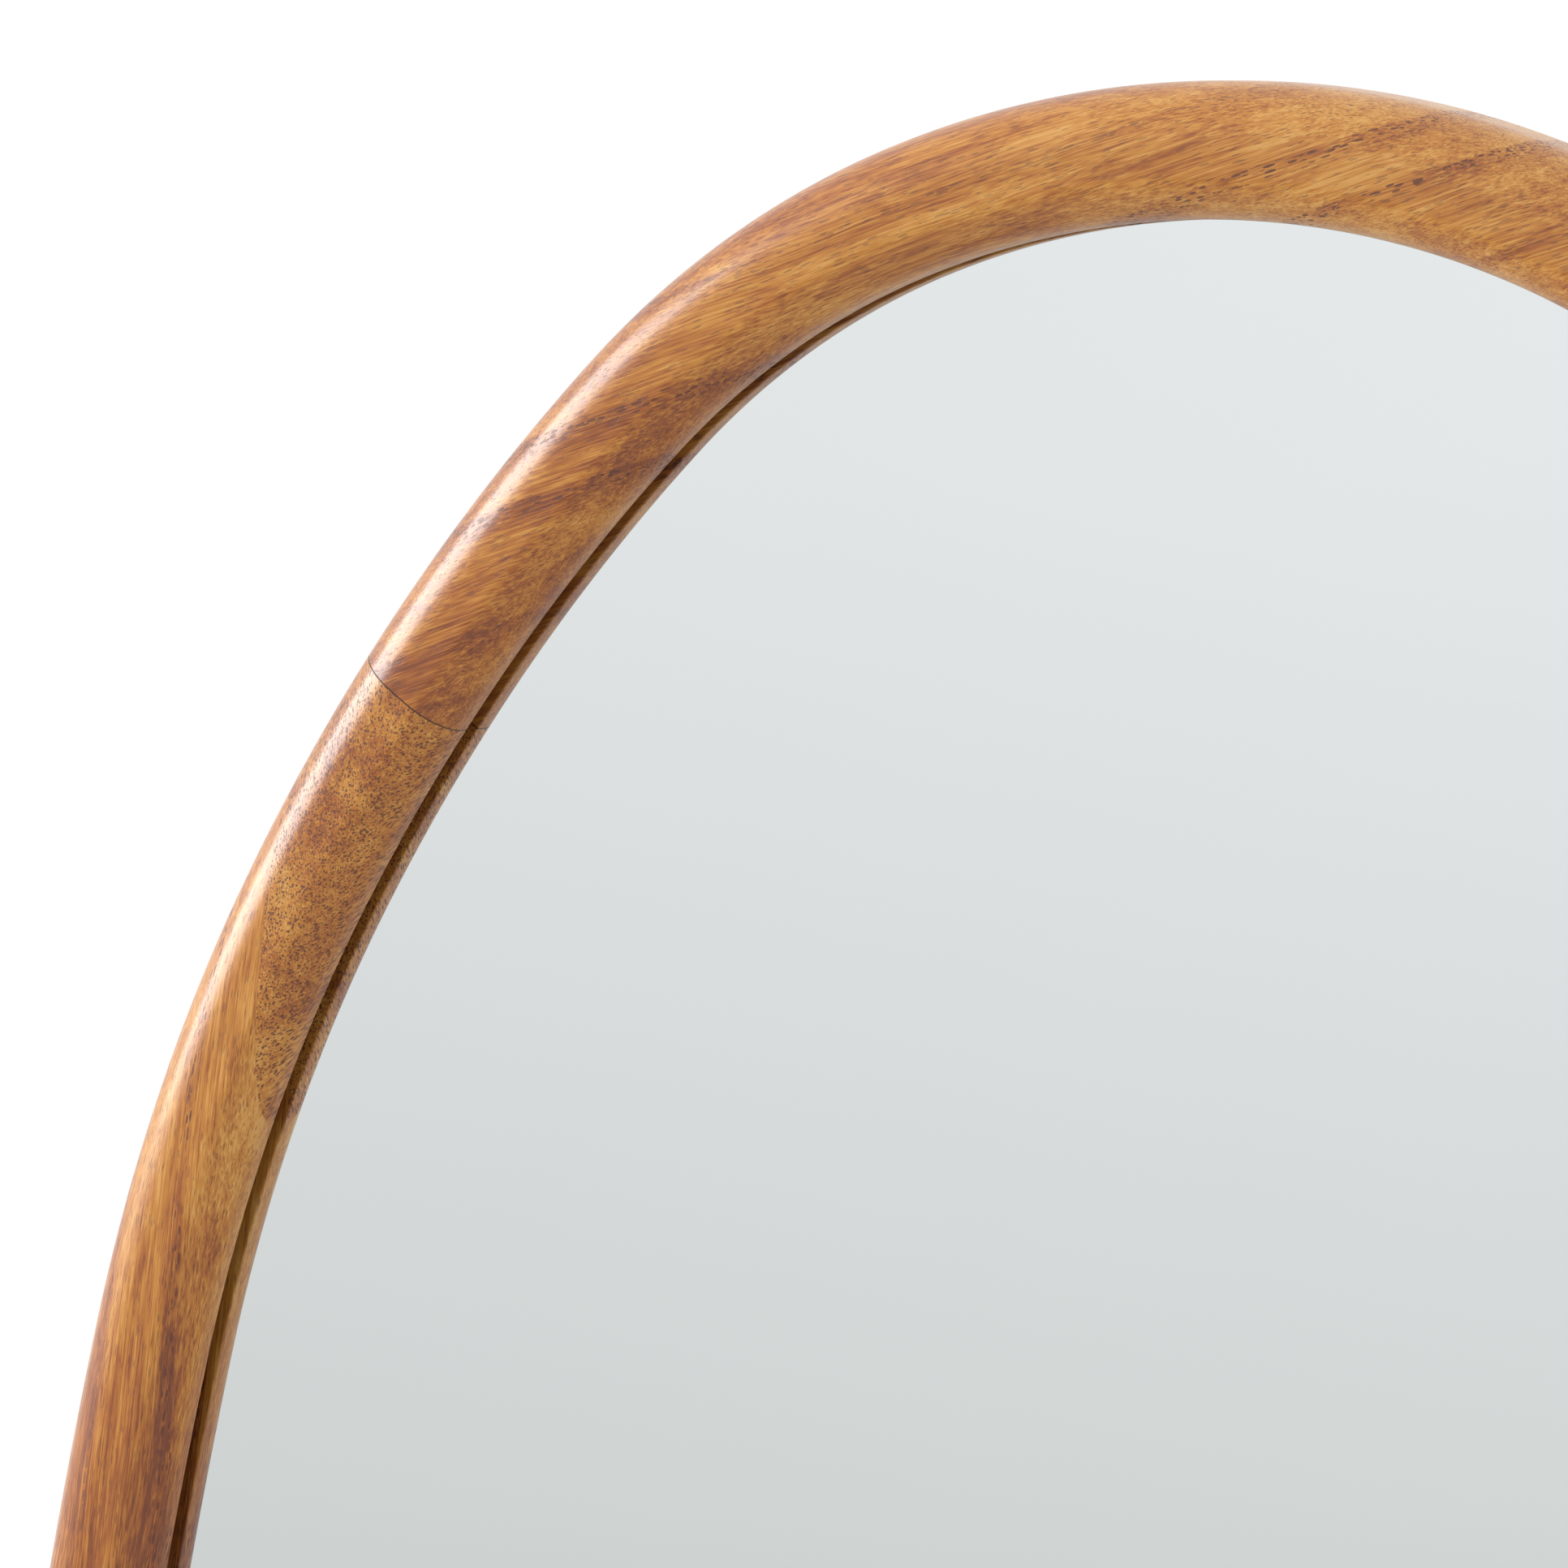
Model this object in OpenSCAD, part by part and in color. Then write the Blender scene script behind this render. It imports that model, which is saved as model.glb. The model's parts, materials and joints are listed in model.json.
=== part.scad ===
// Cheval floor mirror: an oval mirror panel in a round-nosed solid wood frame, which tilts
// between two posts on arched feet. X runs to the right, -Y is the front, Z is up.
// The origin is on the floor, midway between the feet. All sizes are in millimetres.

/* [Mirror panel] */
// Height of the mirror panel
panel_h = 1500; // [1450:10:1520]
// Height of the tilt axis above the floor
pivot_z = 900; // [890:5:920]
// Height of the tilt axis above the middle of the panel
pivot_rise = 20; // [15:1:25]
// Outline radius across the top and bottom
apex_r = 280; // [270:5:290]
// Outline radius of the tight corners beside the top
corner_r = 255; // [245:5:265]
// Outline radius of the flat shoulders
shoulder_r = 610; // [590:5:640]
// Outline radius below the shoulders
flank_r = 515; // [500:5:530]

/* [Frame bar] */
// Width of the frame bar, which is also its depth
bar_w = 36; // [34:1:38]
// Depth of the glass behind the front of the bar
glass_inset = 15; // [14:0.5:16]
// Rounding of the inner front edge, beside the glass
lip_r = 12; // [10:1:13]
// Width of the outer wall beside the rabbet
wall_w = 26; // [25:0.5:27]
// Rounding of the outer back edge
back_edge_r = 8; // [6:1:10]
// Turning angle of the outline at each joint between frame segments
joint_turn = 54; // [50:1:58]
// Radius of the joint dowels
dowel_r = 4; // [3:0.5:5]
// Length of the joint dowels
dowel_len = 40; // [30:2:44]

/* [Glass and back] */
// Thickness of the mirror glass
glass_t = 5; // [4:0.5:6]
// Thickness of the mounting tape
tape_t = 1; // [0.8:0.1:1.2]
// Thickness of the back panel
board_t = 5; // [4:0.5:5]
// Gap around the glass and the back panel
rabbet_gap = 1.5; // [1:0.25:2]
// Thickness of the steel back clips
clip_t = 1.2; // [1:0.1:1.5]
// Width of the steel back clips
clip_w = 16; // [14:1:20]

/* [Stand] */
// Gap between the panel and each post
post_gap = 8; // [7:0.5:10]
// Width of a post across the mirror
post_w = 36; // [36:1:38]
// Depth of a post, front to back
post_d = 44; // [42:1:46]
// Rounding of the upright edges of a post
post_edge_r = 16; // [14:1:17]
// Height of a post above the tilt axis
post_above = 45; // [40:1:50]
// Thickness of a foot
foot_d = 42; // [42:1:44]
// Length of a foot, front to back
foot_len = 500; // [480:10:520]
// Height of the top of a foot at its middle
foot_crown = 83; // [82:1:84]
// Thickness of the foot pads
pad_t = 4; // [3:0.5:5]
// Diameter of the stretcher
stretcher_d = 28; // [26:1:28]

/* [Pivot hardware] */
// Thread diameter of the knob studs and bolts
thread_d = 8; // [6:1:8]
// Radius of the knobs
knob_r = 22; // [20:1:24]
// Thickness of the knobs
knob_t = 24; // [22:1:26]
// Running clearance round each stud
stud_gap = 0.05; // [0.02:0.01:0.09]

/* [Hidden] */
$fn = 180;

// Outline: a chain of tangent arcs, given for the upper left quarter and mirrored for the rest.
// The turning angle is 0 at the apex and 90 at the widest point.
mid_z = pivot_z - pivot_rise;
turn = [0, 20, 44, 60, 76, 90];
chain_r = [apex_r, corner_r, shoulder_r, flank_r];
function outward(a) = [-sin(a), cos(a)];
function chain_centre(i) = i == 0
    ? [0, mid_z + panel_h / 2 - apex_r]
    : chain_centre(i - 1) + (chain_r[i - 1] - chain_r[i]) * outward(turn[i]);
side_r = flank_r + (chain_centre(3)[1] - mid_z) / cos(turn[4]);
side_centre = chain_centre(3) + (flank_r - side_r) * outward(turn[4]);
arc_r = concat(chain_r, [side_r]);
arc_c = concat([for (i = [0:3]) chain_centre(i)], [side_centre]);
half_w = side_r - side_centre[0];
function arc_at(a) = len([for (i = [1:4]) if (a >= turn[i]) i]);
function outline(a, inset) = arc_c[arc_at(a)] + (arc_r[arc_at(a)] - inset) * outward(a);

// Frame bar section, front at +Y of the profile
bar_d = bar_w;
nose_r = bar_w / 2;
// Every other stretch of the bar is this much slimmer and laps into its neighbours, so they fuse
slim = 0.99;
slim_about = 14;
lap = 1;
dowel_y = 7;

// Depth stations behind the front of the bar
tape_y = glass_inset + glass_t;
board_y = tape_y + tape_t;
clip_y = board_y + board_t;
tape_w = 20;
tape_h = 1000;
tape_pitch = 160;

// Back clips
clip_turns = [36, 62, 78, 86];
clip_seat = 19;
clip_reach = 14;
clip_screw_u = 14;
clip_hole_r = 1.9;
screw_r = 1.75;
screw_len = 14;
screw_head_r = 3.5;
screw_head_t = 1.8;
screw_crown_r = 2.2;
screw_rim_t = 0.8;
screw_tip_gap = 1;

// Pivot stations along X, right side
stud_r = thread_d / 2;
seat_cut = 4;
seat_r = 13;
seat_x = half_w - seat_cut;
insert_r = 6;
insert_len = 20;
insert_rim_r = 8;
insert_rim_t = 1.5;
post_x = half_w + post_gap;
post_cut = 1.5;
washer_t = 2;
inner_washer_r = 11;
outer_washer_r = 13;
post_far_x = post_x + post_w;
spacer_r = 10;
bushing_r = 7;
clamp_x = post_far_x - post_cut + washer_t;
ferrule_len = 7;
ferrule_r = 11;
ferrule_rim_t = 2;
ferrule_step = 1.2;
neck_r = 8;
knob_x = clamp_x + ferrule_len;
stud_in_insert = 16;
stud_in_knob = 16;
bevel = 0.8;
spacer_gap = 0.3;
friction_gap = 0.5;
clamp_gap = 0.1;
seat_gap = 0.5;

// Stand
post_centre_x = post_x + post_w / 2;
post_top = pivot_z + post_above;
housing = 13;
post_foot_z = foot_crown - housing;
foot_r = foot_d / 2;
sole_cut = 4;
toe_trim = 0.12;
toe_y = foot_len / 2 - foot_r;
toe_z = pad_t + foot_r - sole_cut;
crown_z = foot_crown - foot_r;
foot_arc_r = (pow(toe_y, 2) + pow(crown_z - toe_z, 2)) / (2 * (crown_z - toe_z));
foot_arc_half = asin(toe_y / foot_arc_r);
pad_r = 11;
pad_stem_r = 4;
pad_stem_len = 12;
stretcher_r = stretcher_d / 2;
stretcher_lift = 2;
stretcher_z = foot_crown + stretcher_r + stretcher_lift;
stretcher_housing = 3;
bolt_gap = 0.25;
bolt_hole_r = stud_r + bolt_gap;
bolt_head_r = 6.5;
bolt_head_t = 8;
hex_key_r = 3.5;
bolt_washer_r = 8.5;
bolt_washer_t = 1.5;
counterbore_r = 9;
cap_t = 5;
cap_rise = 2;
foot_bore_depth = bolt_head_t + bolt_washer_t + 1;
post_bore_depth = bolt_head_t + bolt_washer_t + cap_t;
insert_bore_r = stud_r + stud_gap;
foot_seat_z = crown_z - foot_r + foot_bore_depth;
foot_head_z = foot_seat_z - bolt_washer_t - bolt_head_t;
post_seat_x = post_far_x - post_bore_depth;
post_head_x = post_seat_x + bolt_washer_t + bolt_head_t;

wood = "#b9783c";
brass = "#c2a05a";
steel = "#b4b6b8";
black = "#2a2826";

// ---- placing ----
module flip_x() {
    mirror([1, 0, 0]) children();
}

module flip_z() {
    translate([0, 0, 2 * mid_z]) mirror([0, 0, 1]) children();
}

module both_sides() {
    children();
    flip_x() children();
}

module four_quarters() {
    both_sides() {
        children();
        flip_z() children();
    }
}

// A lathe shape standing on the XY plane, laid along +X from the tilt axis
module along_x(x, z = pivot_z) {
    translate([x, 0, z]) rotate([0, 90, 0]) children();
}

// On the back of the bar, inset from the outline at a turning angle; +X points to the glass
module on_back(a, inset, y) {
    p = outline(a, inset);
    translate([p[0], y - bar_d / 2, p[1]]) rotate([0, 90 - a, 0]) rotate([-90, 0, 0]) children();
}

module tube(r, bore, h) {
    difference() {
        cylinder(r = r, h = h);
        translate([0, 0, -1]) cylinder(r = bore, h = h + 2);
    }
}

// A tube with beveled outer rims
module collar(r, bore, h) {
    rotate_extrude() polygon([
        [bore, 0], [r - bevel, 0], [r, bevel], [r, h - bevel], [r - bevel, h], [bore, h]
    ]);
}

// ---- frame ----
module bar_profile(r) {
    difference() {
        union() {
            translate([r - nose_r, 0]) circle(r = nose_r);
            translate([r - bar_w + lip_r, nose_r - lip_r]) circle(r = lip_r);
            translate([r - bar_w + lip_r, 0]) square([bar_w - lip_r - nose_r, nose_r]);
            translate([r - bar_w, 0]) square([nose_r, nose_r - lip_r]);
            translate([r - wall_w, back_edge_r - nose_r]) square([wall_w, nose_r - back_edge_r]);
            translate([r - wall_w, -nose_r]) square([wall_w - back_edge_r, nose_r]);
            translate([r - back_edge_r, back_edge_r - nose_r]) circle(r = back_edge_r);
        }
        translate([r - bar_w - 1, -bar_w]) square([bar_w - wall_w + 1, bar_w - glass_inset + nose_r]);
    }
}

module full_arc(i, from, to) {
    translate([arc_c[i][0], 0, arc_c[i][1]]) rotate([90, 0, 0])
        rotate_extrude(angle = to - from, start = 90 + from) bar_profile(arc_r[i]);
}

module slim_arc(i, from, to) {
    over = lap / arc_r[i] * 180 / PI;
    hub = [arc_r[i] - slim_about, nose_r - slim_about];
    translate([arc_c[i][0], 0, arc_c[i][1]]) rotate([90, 0, 0])
        rotate_extrude(angle = to - from + 2 * over, start = 90 + from - over)
            translate(hub) scale(slim) translate(-hub) bar_profile(arc_r[i]);
}

module dowels_at_joint(r) {
    p = outline(joint_turn, wall_w / 2);
    for (y = [-dowel_y, dowel_y])
        translate([p[0], y, p[1]]) rotate([0, 90 - joint_turn, 0])
            cylinder(r = r, h = dowel_len, center = true);
}

module clip_place(a) {
    on_back(a, clip_screw_u, bar_d) children();
}

module all_clip_places() {
    four_quarters() for (a = clip_turns) clip_place(a) children();
    clip_place(0) children();
    flip_z() clip_place(0) children();
}

module screw_holes() {
    all_clip_places() translate([0, 0, -screw_len]) cylinder(r = screw_r, h = screw_len + 1, $fn = 24);
}

module top_segment() {
    difference() {
        union() {
            full_arc(0, -turn[1], turn[1]);
            both_sides() {
                slim_arc(1, turn[1], turn[2]);
                full_arc(2, turn[2], joint_turn);
            }
        }
        both_sides() dowels_at_joint(dowel_r);
        screw_holes();
    }
}

module frame_top() {
    color(wood) top_segment();
}

module frame_bottom() {
    color(wood) flip_z() top_segment();
}

module pivot_bores() {
    along_x(seat_x) cylinder(r = seat_r, h = seat_cut + 1);
    along_x(seat_x - insert_rim_t) cylinder(r = insert_rim_r, h = insert_rim_t + 1);
    along_x(seat_x - insert_len) cylinder(r = insert_r, h = insert_len + 1);
}

module upper_side_arcs() {
    full_arc(2, joint_turn, turn[3]);
    slim_arc(3, turn[3], turn[4]);
}

module side_segment() {
    difference() {
        union() {
            full_arc(4, turn[4], 180 - turn[4]);
            upper_side_arcs();
            flip_z() upper_side_arcs();
        }
        dowels_at_joint(dowel_r);
        flip_z() dowels_at_joint(dowel_r);
        screw_holes();
        flip_x() pivot_bores();
    }
}

module frame_left() {
    color(wood) side_segment();
}

module frame_right() {
    color(wood) flip_x() side_segment();
}

module frame_dowels() {
    color("tan") four_quarters() dowels_at_joint(dowel_r);
}

// ---- glass and back ----
// The panel outline, inset all round, as points every 2 degrees of turning or finer
function quarter_points(inset) = concat(
    [for (a = [0:2:74]) outline(a, inset)],
    [for (a = [76:0.5:90]) outline(a, inset)]
);

module sheet_outline(inset) {
    q = quarter_points(inset);
    n = len(q) - 1;
    lower = [for (i = [n - 1:-1:0]) [q[i][0], 2 * mid_z - q[i][1]]];
    left = concat(q, lower);
    m = len(left) - 1;
    polygon(concat(left, [for (i = [m - 1:-1:1]) [-left[i][0], left[i][1]]]));
}

module panel_sheet(inset, y, t) {
    translate([0, y - bar_d / 2 + t, 0]) rotate([90, 0, 0]) linear_extrude(t) sheet_outline(inset);
}

module mirror_glass() {
    color("lightsteelblue") panel_sheet(wall_w + rabbet_gap, glass_inset, glass_t);
}

module mounting_tape() {
    color("whitesmoke") for (i = [-1.5:1:1.5])
        translate([i * tape_pitch - tape_w / 2, tape_y - bar_d / 2, mid_z - tape_h / 2])
            cube([tape_w, tape_t, tape_h]);
}

module back_panel() {
    color(black) panel_sheet(wall_w + rabbet_gap, board_y, board_t);
}

// A Z-shaped clip: its upper leaf is screwed to the bar, its lower leaf holds the back panel
module clip() {
    leaf = clip_seat - (wall_w - clip_screw_u);
    step_x = wall_w - clip_screw_u + rabbet_gap;
    drop = bar_d - clip_y;
    difference() {
        union() {
            translate([-leaf, -clip_w / 2, 0]) cube([leaf + step_x, clip_w, clip_t]);
            translate([step_x - clip_t, -clip_w / 2, -drop]) cube([clip_t, clip_w, drop + clip_t]);
            translate([step_x - clip_t, -clip_w / 2, -drop]) cube([clip_reach, clip_w, clip_t]);
        }
        translate([0, 0, -1]) cylinder(r = clip_hole_r, h = clip_t + 2, $fn = 24);
    }
}

module clip_screw() {
    shank = screw_len - screw_tip_gap;
    translate([0, 0, clip_t]) rotate_extrude($fn = 48) polygon([
        [0, 0], [screw_head_r, 0], [screw_head_r, screw_rim_t],
        [screw_crown_r, screw_head_t], [0, screw_head_t]
    ]);
    translate([0, 0, -shank]) cylinder(r = screw_r, h = shank + clip_t, $fn = 24);
}

module back_clips() {
    color(steel) all_clip_places() clip();
}

module clip_screws() {
    color(steel) all_clip_places() clip_screw();
}

// ---- pivot hardware, drawn on the right ----
module insert(rim) {
    difference() {
        union() {
            cylinder(r = insert_r, h = insert_len);
            if (rim)
                translate([0, 0, insert_len - insert_rim_t]) cylinder(r = insert_rim_r, h = insert_rim_t);
        }
        translate([0, 0, -1]) cylinder(r = insert_bore_r, h = insert_len + 2);
    }
}

module pivot_insert() {
    color(brass) along_x(seat_x - insert_len) insert(true);
}

module spacer() {
    color(brass) along_x(seat_x)
        collar(spacer_r, stud_r + spacer_gap, post_x + post_cut - washer_t - seat_x);
}

module friction_washer() {
    color(black) along_x(post_x + post_cut - washer_t)
        tube(inner_washer_r, stud_r + friction_gap, washer_t);
}

module bushing() {
    color("ivory") along_x(post_x + post_cut) tube(bushing_r, insert_bore_r, post_w - 2 * post_cut);
}

module clamp_washer() {
    color(brass) along_x(clamp_x - washer_t) collar(outer_washer_r, stud_r + clamp_gap, washer_t);
}

module ferrule() {
    color(brass) along_x(clamp_x) rotate_extrude() polygon([
        [neck_r, 0], [ferrule_r - bevel, 0], [ferrule_r, bevel],
        [ferrule_r, ferrule_rim_t], [ferrule_r - ferrule_step, ferrule_rim_t + ferrule_step],
        [ferrule_r - ferrule_step, ferrule_len], [neck_r, ferrule_len]
    ]);
}

module stud() {
    start = seat_x - stud_in_insert;
    color(steel) along_x(start) rotate_extrude() polygon([
        [0, 0], [stud_r - bevel, 0], [stud_r, bevel],
        [stud_r, knob_x + stud_in_knob - start], [0, knob_x + stud_in_knob - start]
    ]);
}

// A round-edged turned knob with a neck inside the ferrule
module knob() {
    edge_r = knob_t / 2;
    color(wood) difference() {
        union() {
            along_x(clamp_x) cylinder(r = neck_r, h = ferrule_len + edge_r);
            along_x(knob_x) rotate_extrude() {
                square([knob_r - edge_r, knob_t]);
                intersection() {
                    translate([knob_r - edge_r, edge_r]) circle(r = edge_r);
                    square([knob_r, knob_t]);
                }
            }
        }
        along_x(clamp_x - 1) cylinder(r = stud_r, h = ferrule_len + stud_in_knob + 1);
    }
}

// ---- stand ----
module post_section() {
    w = post_w - 2 * post_edge_r;
    d = post_d - 2 * post_edge_r;
    square([post_w, d], center = true);
    square([w, post_d], center = true);
    for (x = [-w / 2, w / 2], y = [-d / 2, d / 2]) translate([x, y]) circle(r = post_edge_r);
}

module post_blank() {
    translate([post_centre_x, 0, post_foot_z]) linear_extrude(post_top - post_foot_z) post_section();
}

module post() {
    dome_r = post_d / 2;
    color(wood) difference() {
        intersection() {
            post_blank();
            union() {
                translate([post_x - 1, -dome_r - 1, 0]) cube([post_w + 2, post_d + 2, post_top - dome_r]);
                along_x(post_x - 1, post_top - dome_r) cylinder(r = dome_r, h = post_w + 2);
            }
        }
        along_x(post_x - 1) cylinder(r = bushing_r, h = post_w + 2);
        along_x(post_x - 1) cylinder(r = seat_r + seat_gap, h = post_cut + 1);
        along_x(post_far_x - post_cut) cylinder(r = seat_r + seat_gap, h = post_cut + 1);
        along_x(post_x - 1, stretcher_z) cylinder(r = stretcher_r, h = stretcher_housing + 1);
        along_x(post_x - 1, stretcher_z) cylinder(r = bolt_hole_r, h = post_w + 2);
        along_x(post_seat_x, stretcher_z) cylinder(r = counterbore_r, h = post_bore_depth + 1);
        translate([post_centre_x, 0, post_foot_z - 1]) cylinder(r = insert_r, h = insert_len + 1);
    }
}

// An arched round bar with domed toes, flattened underneath for the pads
module foot() {
    color(wood) difference() {
        union() {
            translate([post_centre_x, 0, crown_z - foot_arc_r]) rotate([90, 0, 90])
                rotate_extrude(angle = 2 * foot_arc_half, start = 90 - foot_arc_half)
                    translate([foot_arc_r, 0]) circle(r = foot_r);
            for (y = [-toe_y, toe_y]) translate([post_centre_x, y, toe_z]) sphere(r = foot_r - toe_trim);
        }
        translate([post_centre_x - foot_d, -foot_len, -foot_len])
            cube([2 * foot_d, 2 * foot_len, foot_len + pad_t]);
        post_blank();
        translate([post_centre_x, 0, 0]) cylinder(r = bolt_hole_r, h = foot_crown);
        translate([post_centre_x, 0, 0])
            cylinder(r = counterbore_r, h = crown_z - foot_r + foot_bore_depth);
        for (y = [-toe_y, toe_y]) translate([post_centre_x, y, 0])
            cylinder(r = pad_stem_r, h = pad_t + pad_stem_len);
    }
}

module stretcher() {
    color(wood) difference() {
        translate([-post_x - stretcher_housing, 0, stretcher_z]) rotate([0, 90, 0])
            cylinder(r = stretcher_r, h = 2 * (post_x + stretcher_housing));
        both_sides() along_x(post_x + stretcher_housing - insert_len, stretcher_z)
            cylinder(r = insert_r, h = insert_len + 1);
    }
}

module foot_pads() {
    color(black) both_sides() for (y = [-toe_y, toe_y]) translate([post_centre_x, y, 0])
        rotate_extrude() polygon([
            [0, 0], [pad_r - bevel, 0], [pad_r, bevel], [pad_r, pad_t],
            [pad_stem_r, pad_t], [pad_stem_r, pad_t + pad_stem_len - 1], [0, pad_t + pad_stem_len - 1]
        ]);
}

// A socket head bolt; its head starts at z = 0 and its shank points to +Z
module bolt(shank) {
    difference() {
        union() {
            rotate_extrude() polygon([
                [0, 0], [bolt_head_r - bevel, 0], [bolt_head_r, bevel],
                [bolt_head_r, bolt_head_t], [0, bolt_head_t]
            ]);
            translate([0, 0, bolt_head_t]) cylinder(r = stud_r, h = shank);
        }
        translate([0, 0, -1]) cylinder(r = hex_key_r, h = bolt_head_t / 2 + 1, $fn = 6);
    }
}

module foot_bolts() {
    color(steel) both_sides() translate([post_centre_x, 0, foot_head_z])
        bolt(post_foot_z + insert_len - 1 - foot_head_z - bolt_head_t);
}

module foot_bolt_washers() {
    color(steel) both_sides() translate([post_centre_x, 0, foot_seat_z - bolt_washer_t])
        tube(bolt_washer_r, bolt_hole_r, bolt_washer_t);
}

module post_inserts() {
    color(brass) both_sides() translate([post_centre_x, 0, post_foot_z]) insert(false);
}

module stretcher_bolts() {
    reach = post_head_x - bolt_head_t - (post_x + stretcher_housing - insert_len + 1);
    color(steel) both_sides() translate([post_head_x, 0, stretcher_z]) rotate([0, -90, 0]) bolt(reach);
}

module stretcher_bolt_washers() {
    color(steel) both_sides() along_x(post_seat_x, stretcher_z)
        tube(bolt_washer_r, bolt_hole_r, bolt_washer_t);
}

module stretcher_inserts() {
    color(brass) both_sides() along_x(post_x + stretcher_housing - insert_len, stretcher_z) insert(false);
}

// Domed wooden buttons over the stretcher bolts
module bolt_caps() {
    dome_r = (pow(counterbore_r, 2) + pow(cap_rise, 2)) / (2 * cap_rise);
    color(wood) both_sides() along_x(post_far_x - cap_t, stretcher_z) rotate_extrude() intersection() {
        translate([0, cap_t + cap_rise - dome_r]) circle(r = dome_r);
        square([counterbore_r, cap_t + cap_rise]);
    }
}

frame_top();
frame_left();
frame_right();
frame_bottom();
frame_dowels();
mirror_glass();
mounting_tape();
back_panel();
back_clips();
clip_screws();
flip_x() pivot_insert();  // left_insert
pivot_insert();  // right_insert
flip_x() spacer();  // left_spacer
spacer();  // right_spacer
flip_x() post();  // left_post
post();  // right_post
flip_x() foot();  // left_foot
foot();  // right_foot
stretcher();
foot_pads();
flip_x() bushing();  // left_bushing
bushing();  // right_bushing
flip_x() friction_washer();  // left_friction_washer
friction_washer();  // right_friction_washer
foot_bolts();
foot_bolt_washers();
post_inserts();
stretcher_bolts();
stretcher_bolt_washers();
stretcher_inserts();
bolt_caps();
flip_x() clamp_washer();  // left_washer
clamp_washer();  // right_washer
flip_x() ferrule();  // left_ferrule
ferrule();  // right_ferrule
flip_x() stud();  // left_stud
stud();  // right_stud
flip_x() knob();  // left_knob
knob();  // right_knob
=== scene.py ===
"""Cheval floor mirror: the looks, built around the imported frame.

+Z is up, -Y is the front, and the origin is on the floor between the feet. Sizes and places are in
millimetres up to object_from, which makes metres of them; the stage, light and camera are in metres.
"""
import json
import math

import bmesh
import bpy
import numpy as np
from mathutils import Matrix, Vector


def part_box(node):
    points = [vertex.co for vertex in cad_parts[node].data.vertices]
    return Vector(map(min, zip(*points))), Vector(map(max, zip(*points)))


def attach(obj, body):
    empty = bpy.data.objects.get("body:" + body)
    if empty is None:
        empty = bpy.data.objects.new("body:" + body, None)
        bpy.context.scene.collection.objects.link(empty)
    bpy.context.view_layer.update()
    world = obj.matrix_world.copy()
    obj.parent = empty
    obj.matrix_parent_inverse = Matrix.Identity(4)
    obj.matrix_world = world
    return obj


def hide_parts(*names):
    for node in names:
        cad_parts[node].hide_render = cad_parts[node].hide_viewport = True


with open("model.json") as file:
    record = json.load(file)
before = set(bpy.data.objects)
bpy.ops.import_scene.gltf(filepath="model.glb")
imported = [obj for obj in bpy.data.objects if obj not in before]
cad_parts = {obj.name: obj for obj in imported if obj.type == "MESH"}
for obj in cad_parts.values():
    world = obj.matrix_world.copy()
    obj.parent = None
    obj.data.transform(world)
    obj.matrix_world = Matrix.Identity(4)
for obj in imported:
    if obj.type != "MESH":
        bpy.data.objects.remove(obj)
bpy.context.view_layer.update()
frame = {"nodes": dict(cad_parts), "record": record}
nodes = frame["nodes"]
MM = 0.001


def box_mm(node):
    """Lowest and highest corner of a CAD node, in millimetres."""
    low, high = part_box(node)
    return np.array(low) / MM, np.array(high) / MM


# ---- outline of the mirror panel
# Tangent arcs from the apex (turn 0) to the widest point (turn 90); the rest is mirrored.
ARC_TURN = [0, 20, 44, 60, 76, 90]
ARC_RADIUS = [280, 255, 610, 515]
# Turn of the glue joints between the four pieces of the frame
JOINT_TURN = 54
PANEL_TOP = box_mm("frame_top")[1][2]
PANEL_BOTTOM = box_mm("frame_bottom")[0][2]
PANEL_HALF_W = box_mm("frame_right")[1][0]
MID_Z = (PANEL_TOP + PANEL_BOTTOM) / 2

# Section of the bar: a round nose outside, a smaller lip inside, and a rabbet for the glass behind the lip
BAR = 36
NOSE_R = 18
LIP_R = 12
BACK_EDGE_R = 8
ARRIS_R = 0.5
BACK_BEVEL = 0.6
# Depth of the glass behind the front, and width of the wall outside the rabbet
GLASS_INSET = 15
WALL_W = 26


def outward(turn):
    """Outward normal of the outline, as (x, z), at a turning angle in degrees."""
    return np.array([-math.sin(math.radians(turn)), math.cos(math.radians(turn))])


def arc_chain():
    """Centres of the five arcs, as (x, z), and their radii. The last one ends square to the middle height."""
    centres = [np.array([0, PANEL_TOP - ARC_RADIUS[0]])]
    for i in range(1, 4):
        centres.append(centres[-1] + (ARC_RADIUS[i - 1] - ARC_RADIUS[i]) * outward(ARC_TURN[i]))
    side_r = ARC_RADIUS[3] + (centres[3][1] - MID_Z) / math.cos(math.radians(ARC_TURN[4]))
    centres.append(centres[3] + (ARC_RADIUS[3] - side_r) * outward(ARC_TURN[4]))
    return centres, ARC_RADIUS + [side_r]


ARC_CENTRE, ARC_R = arc_chain()


def rim(turn):
    """Outer edge of the panel at a turning angle, 0 at the top and positive to the left, as (x, z).

    Returns the point and the outward normal.
    """
    quarter = min(abs(turn), 180 - abs(turn))
    i = sum(quarter >= t for t in ARC_TURN[1:5])
    normal = outward(quarter)
    point = ARC_CENTRE[i] + ARC_R[i] * normal
    if abs(turn) > 90:
        point[1] = 2 * MID_Z - point[1]
        normal[1] = -normal[1]
    if turn < 0:
        point[0], normal[0] = -point[0], -normal[0]
    return point, normal


def arc_points(centre, radius, start, stop, count):
    """Points on an arc, with angles in degrees."""
    angles = np.radians(np.linspace(start, stop, count))
    return [(centre[0] + radius * math.cos(a), centre[1] + radius * math.sin(a)) for a in angles]


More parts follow.
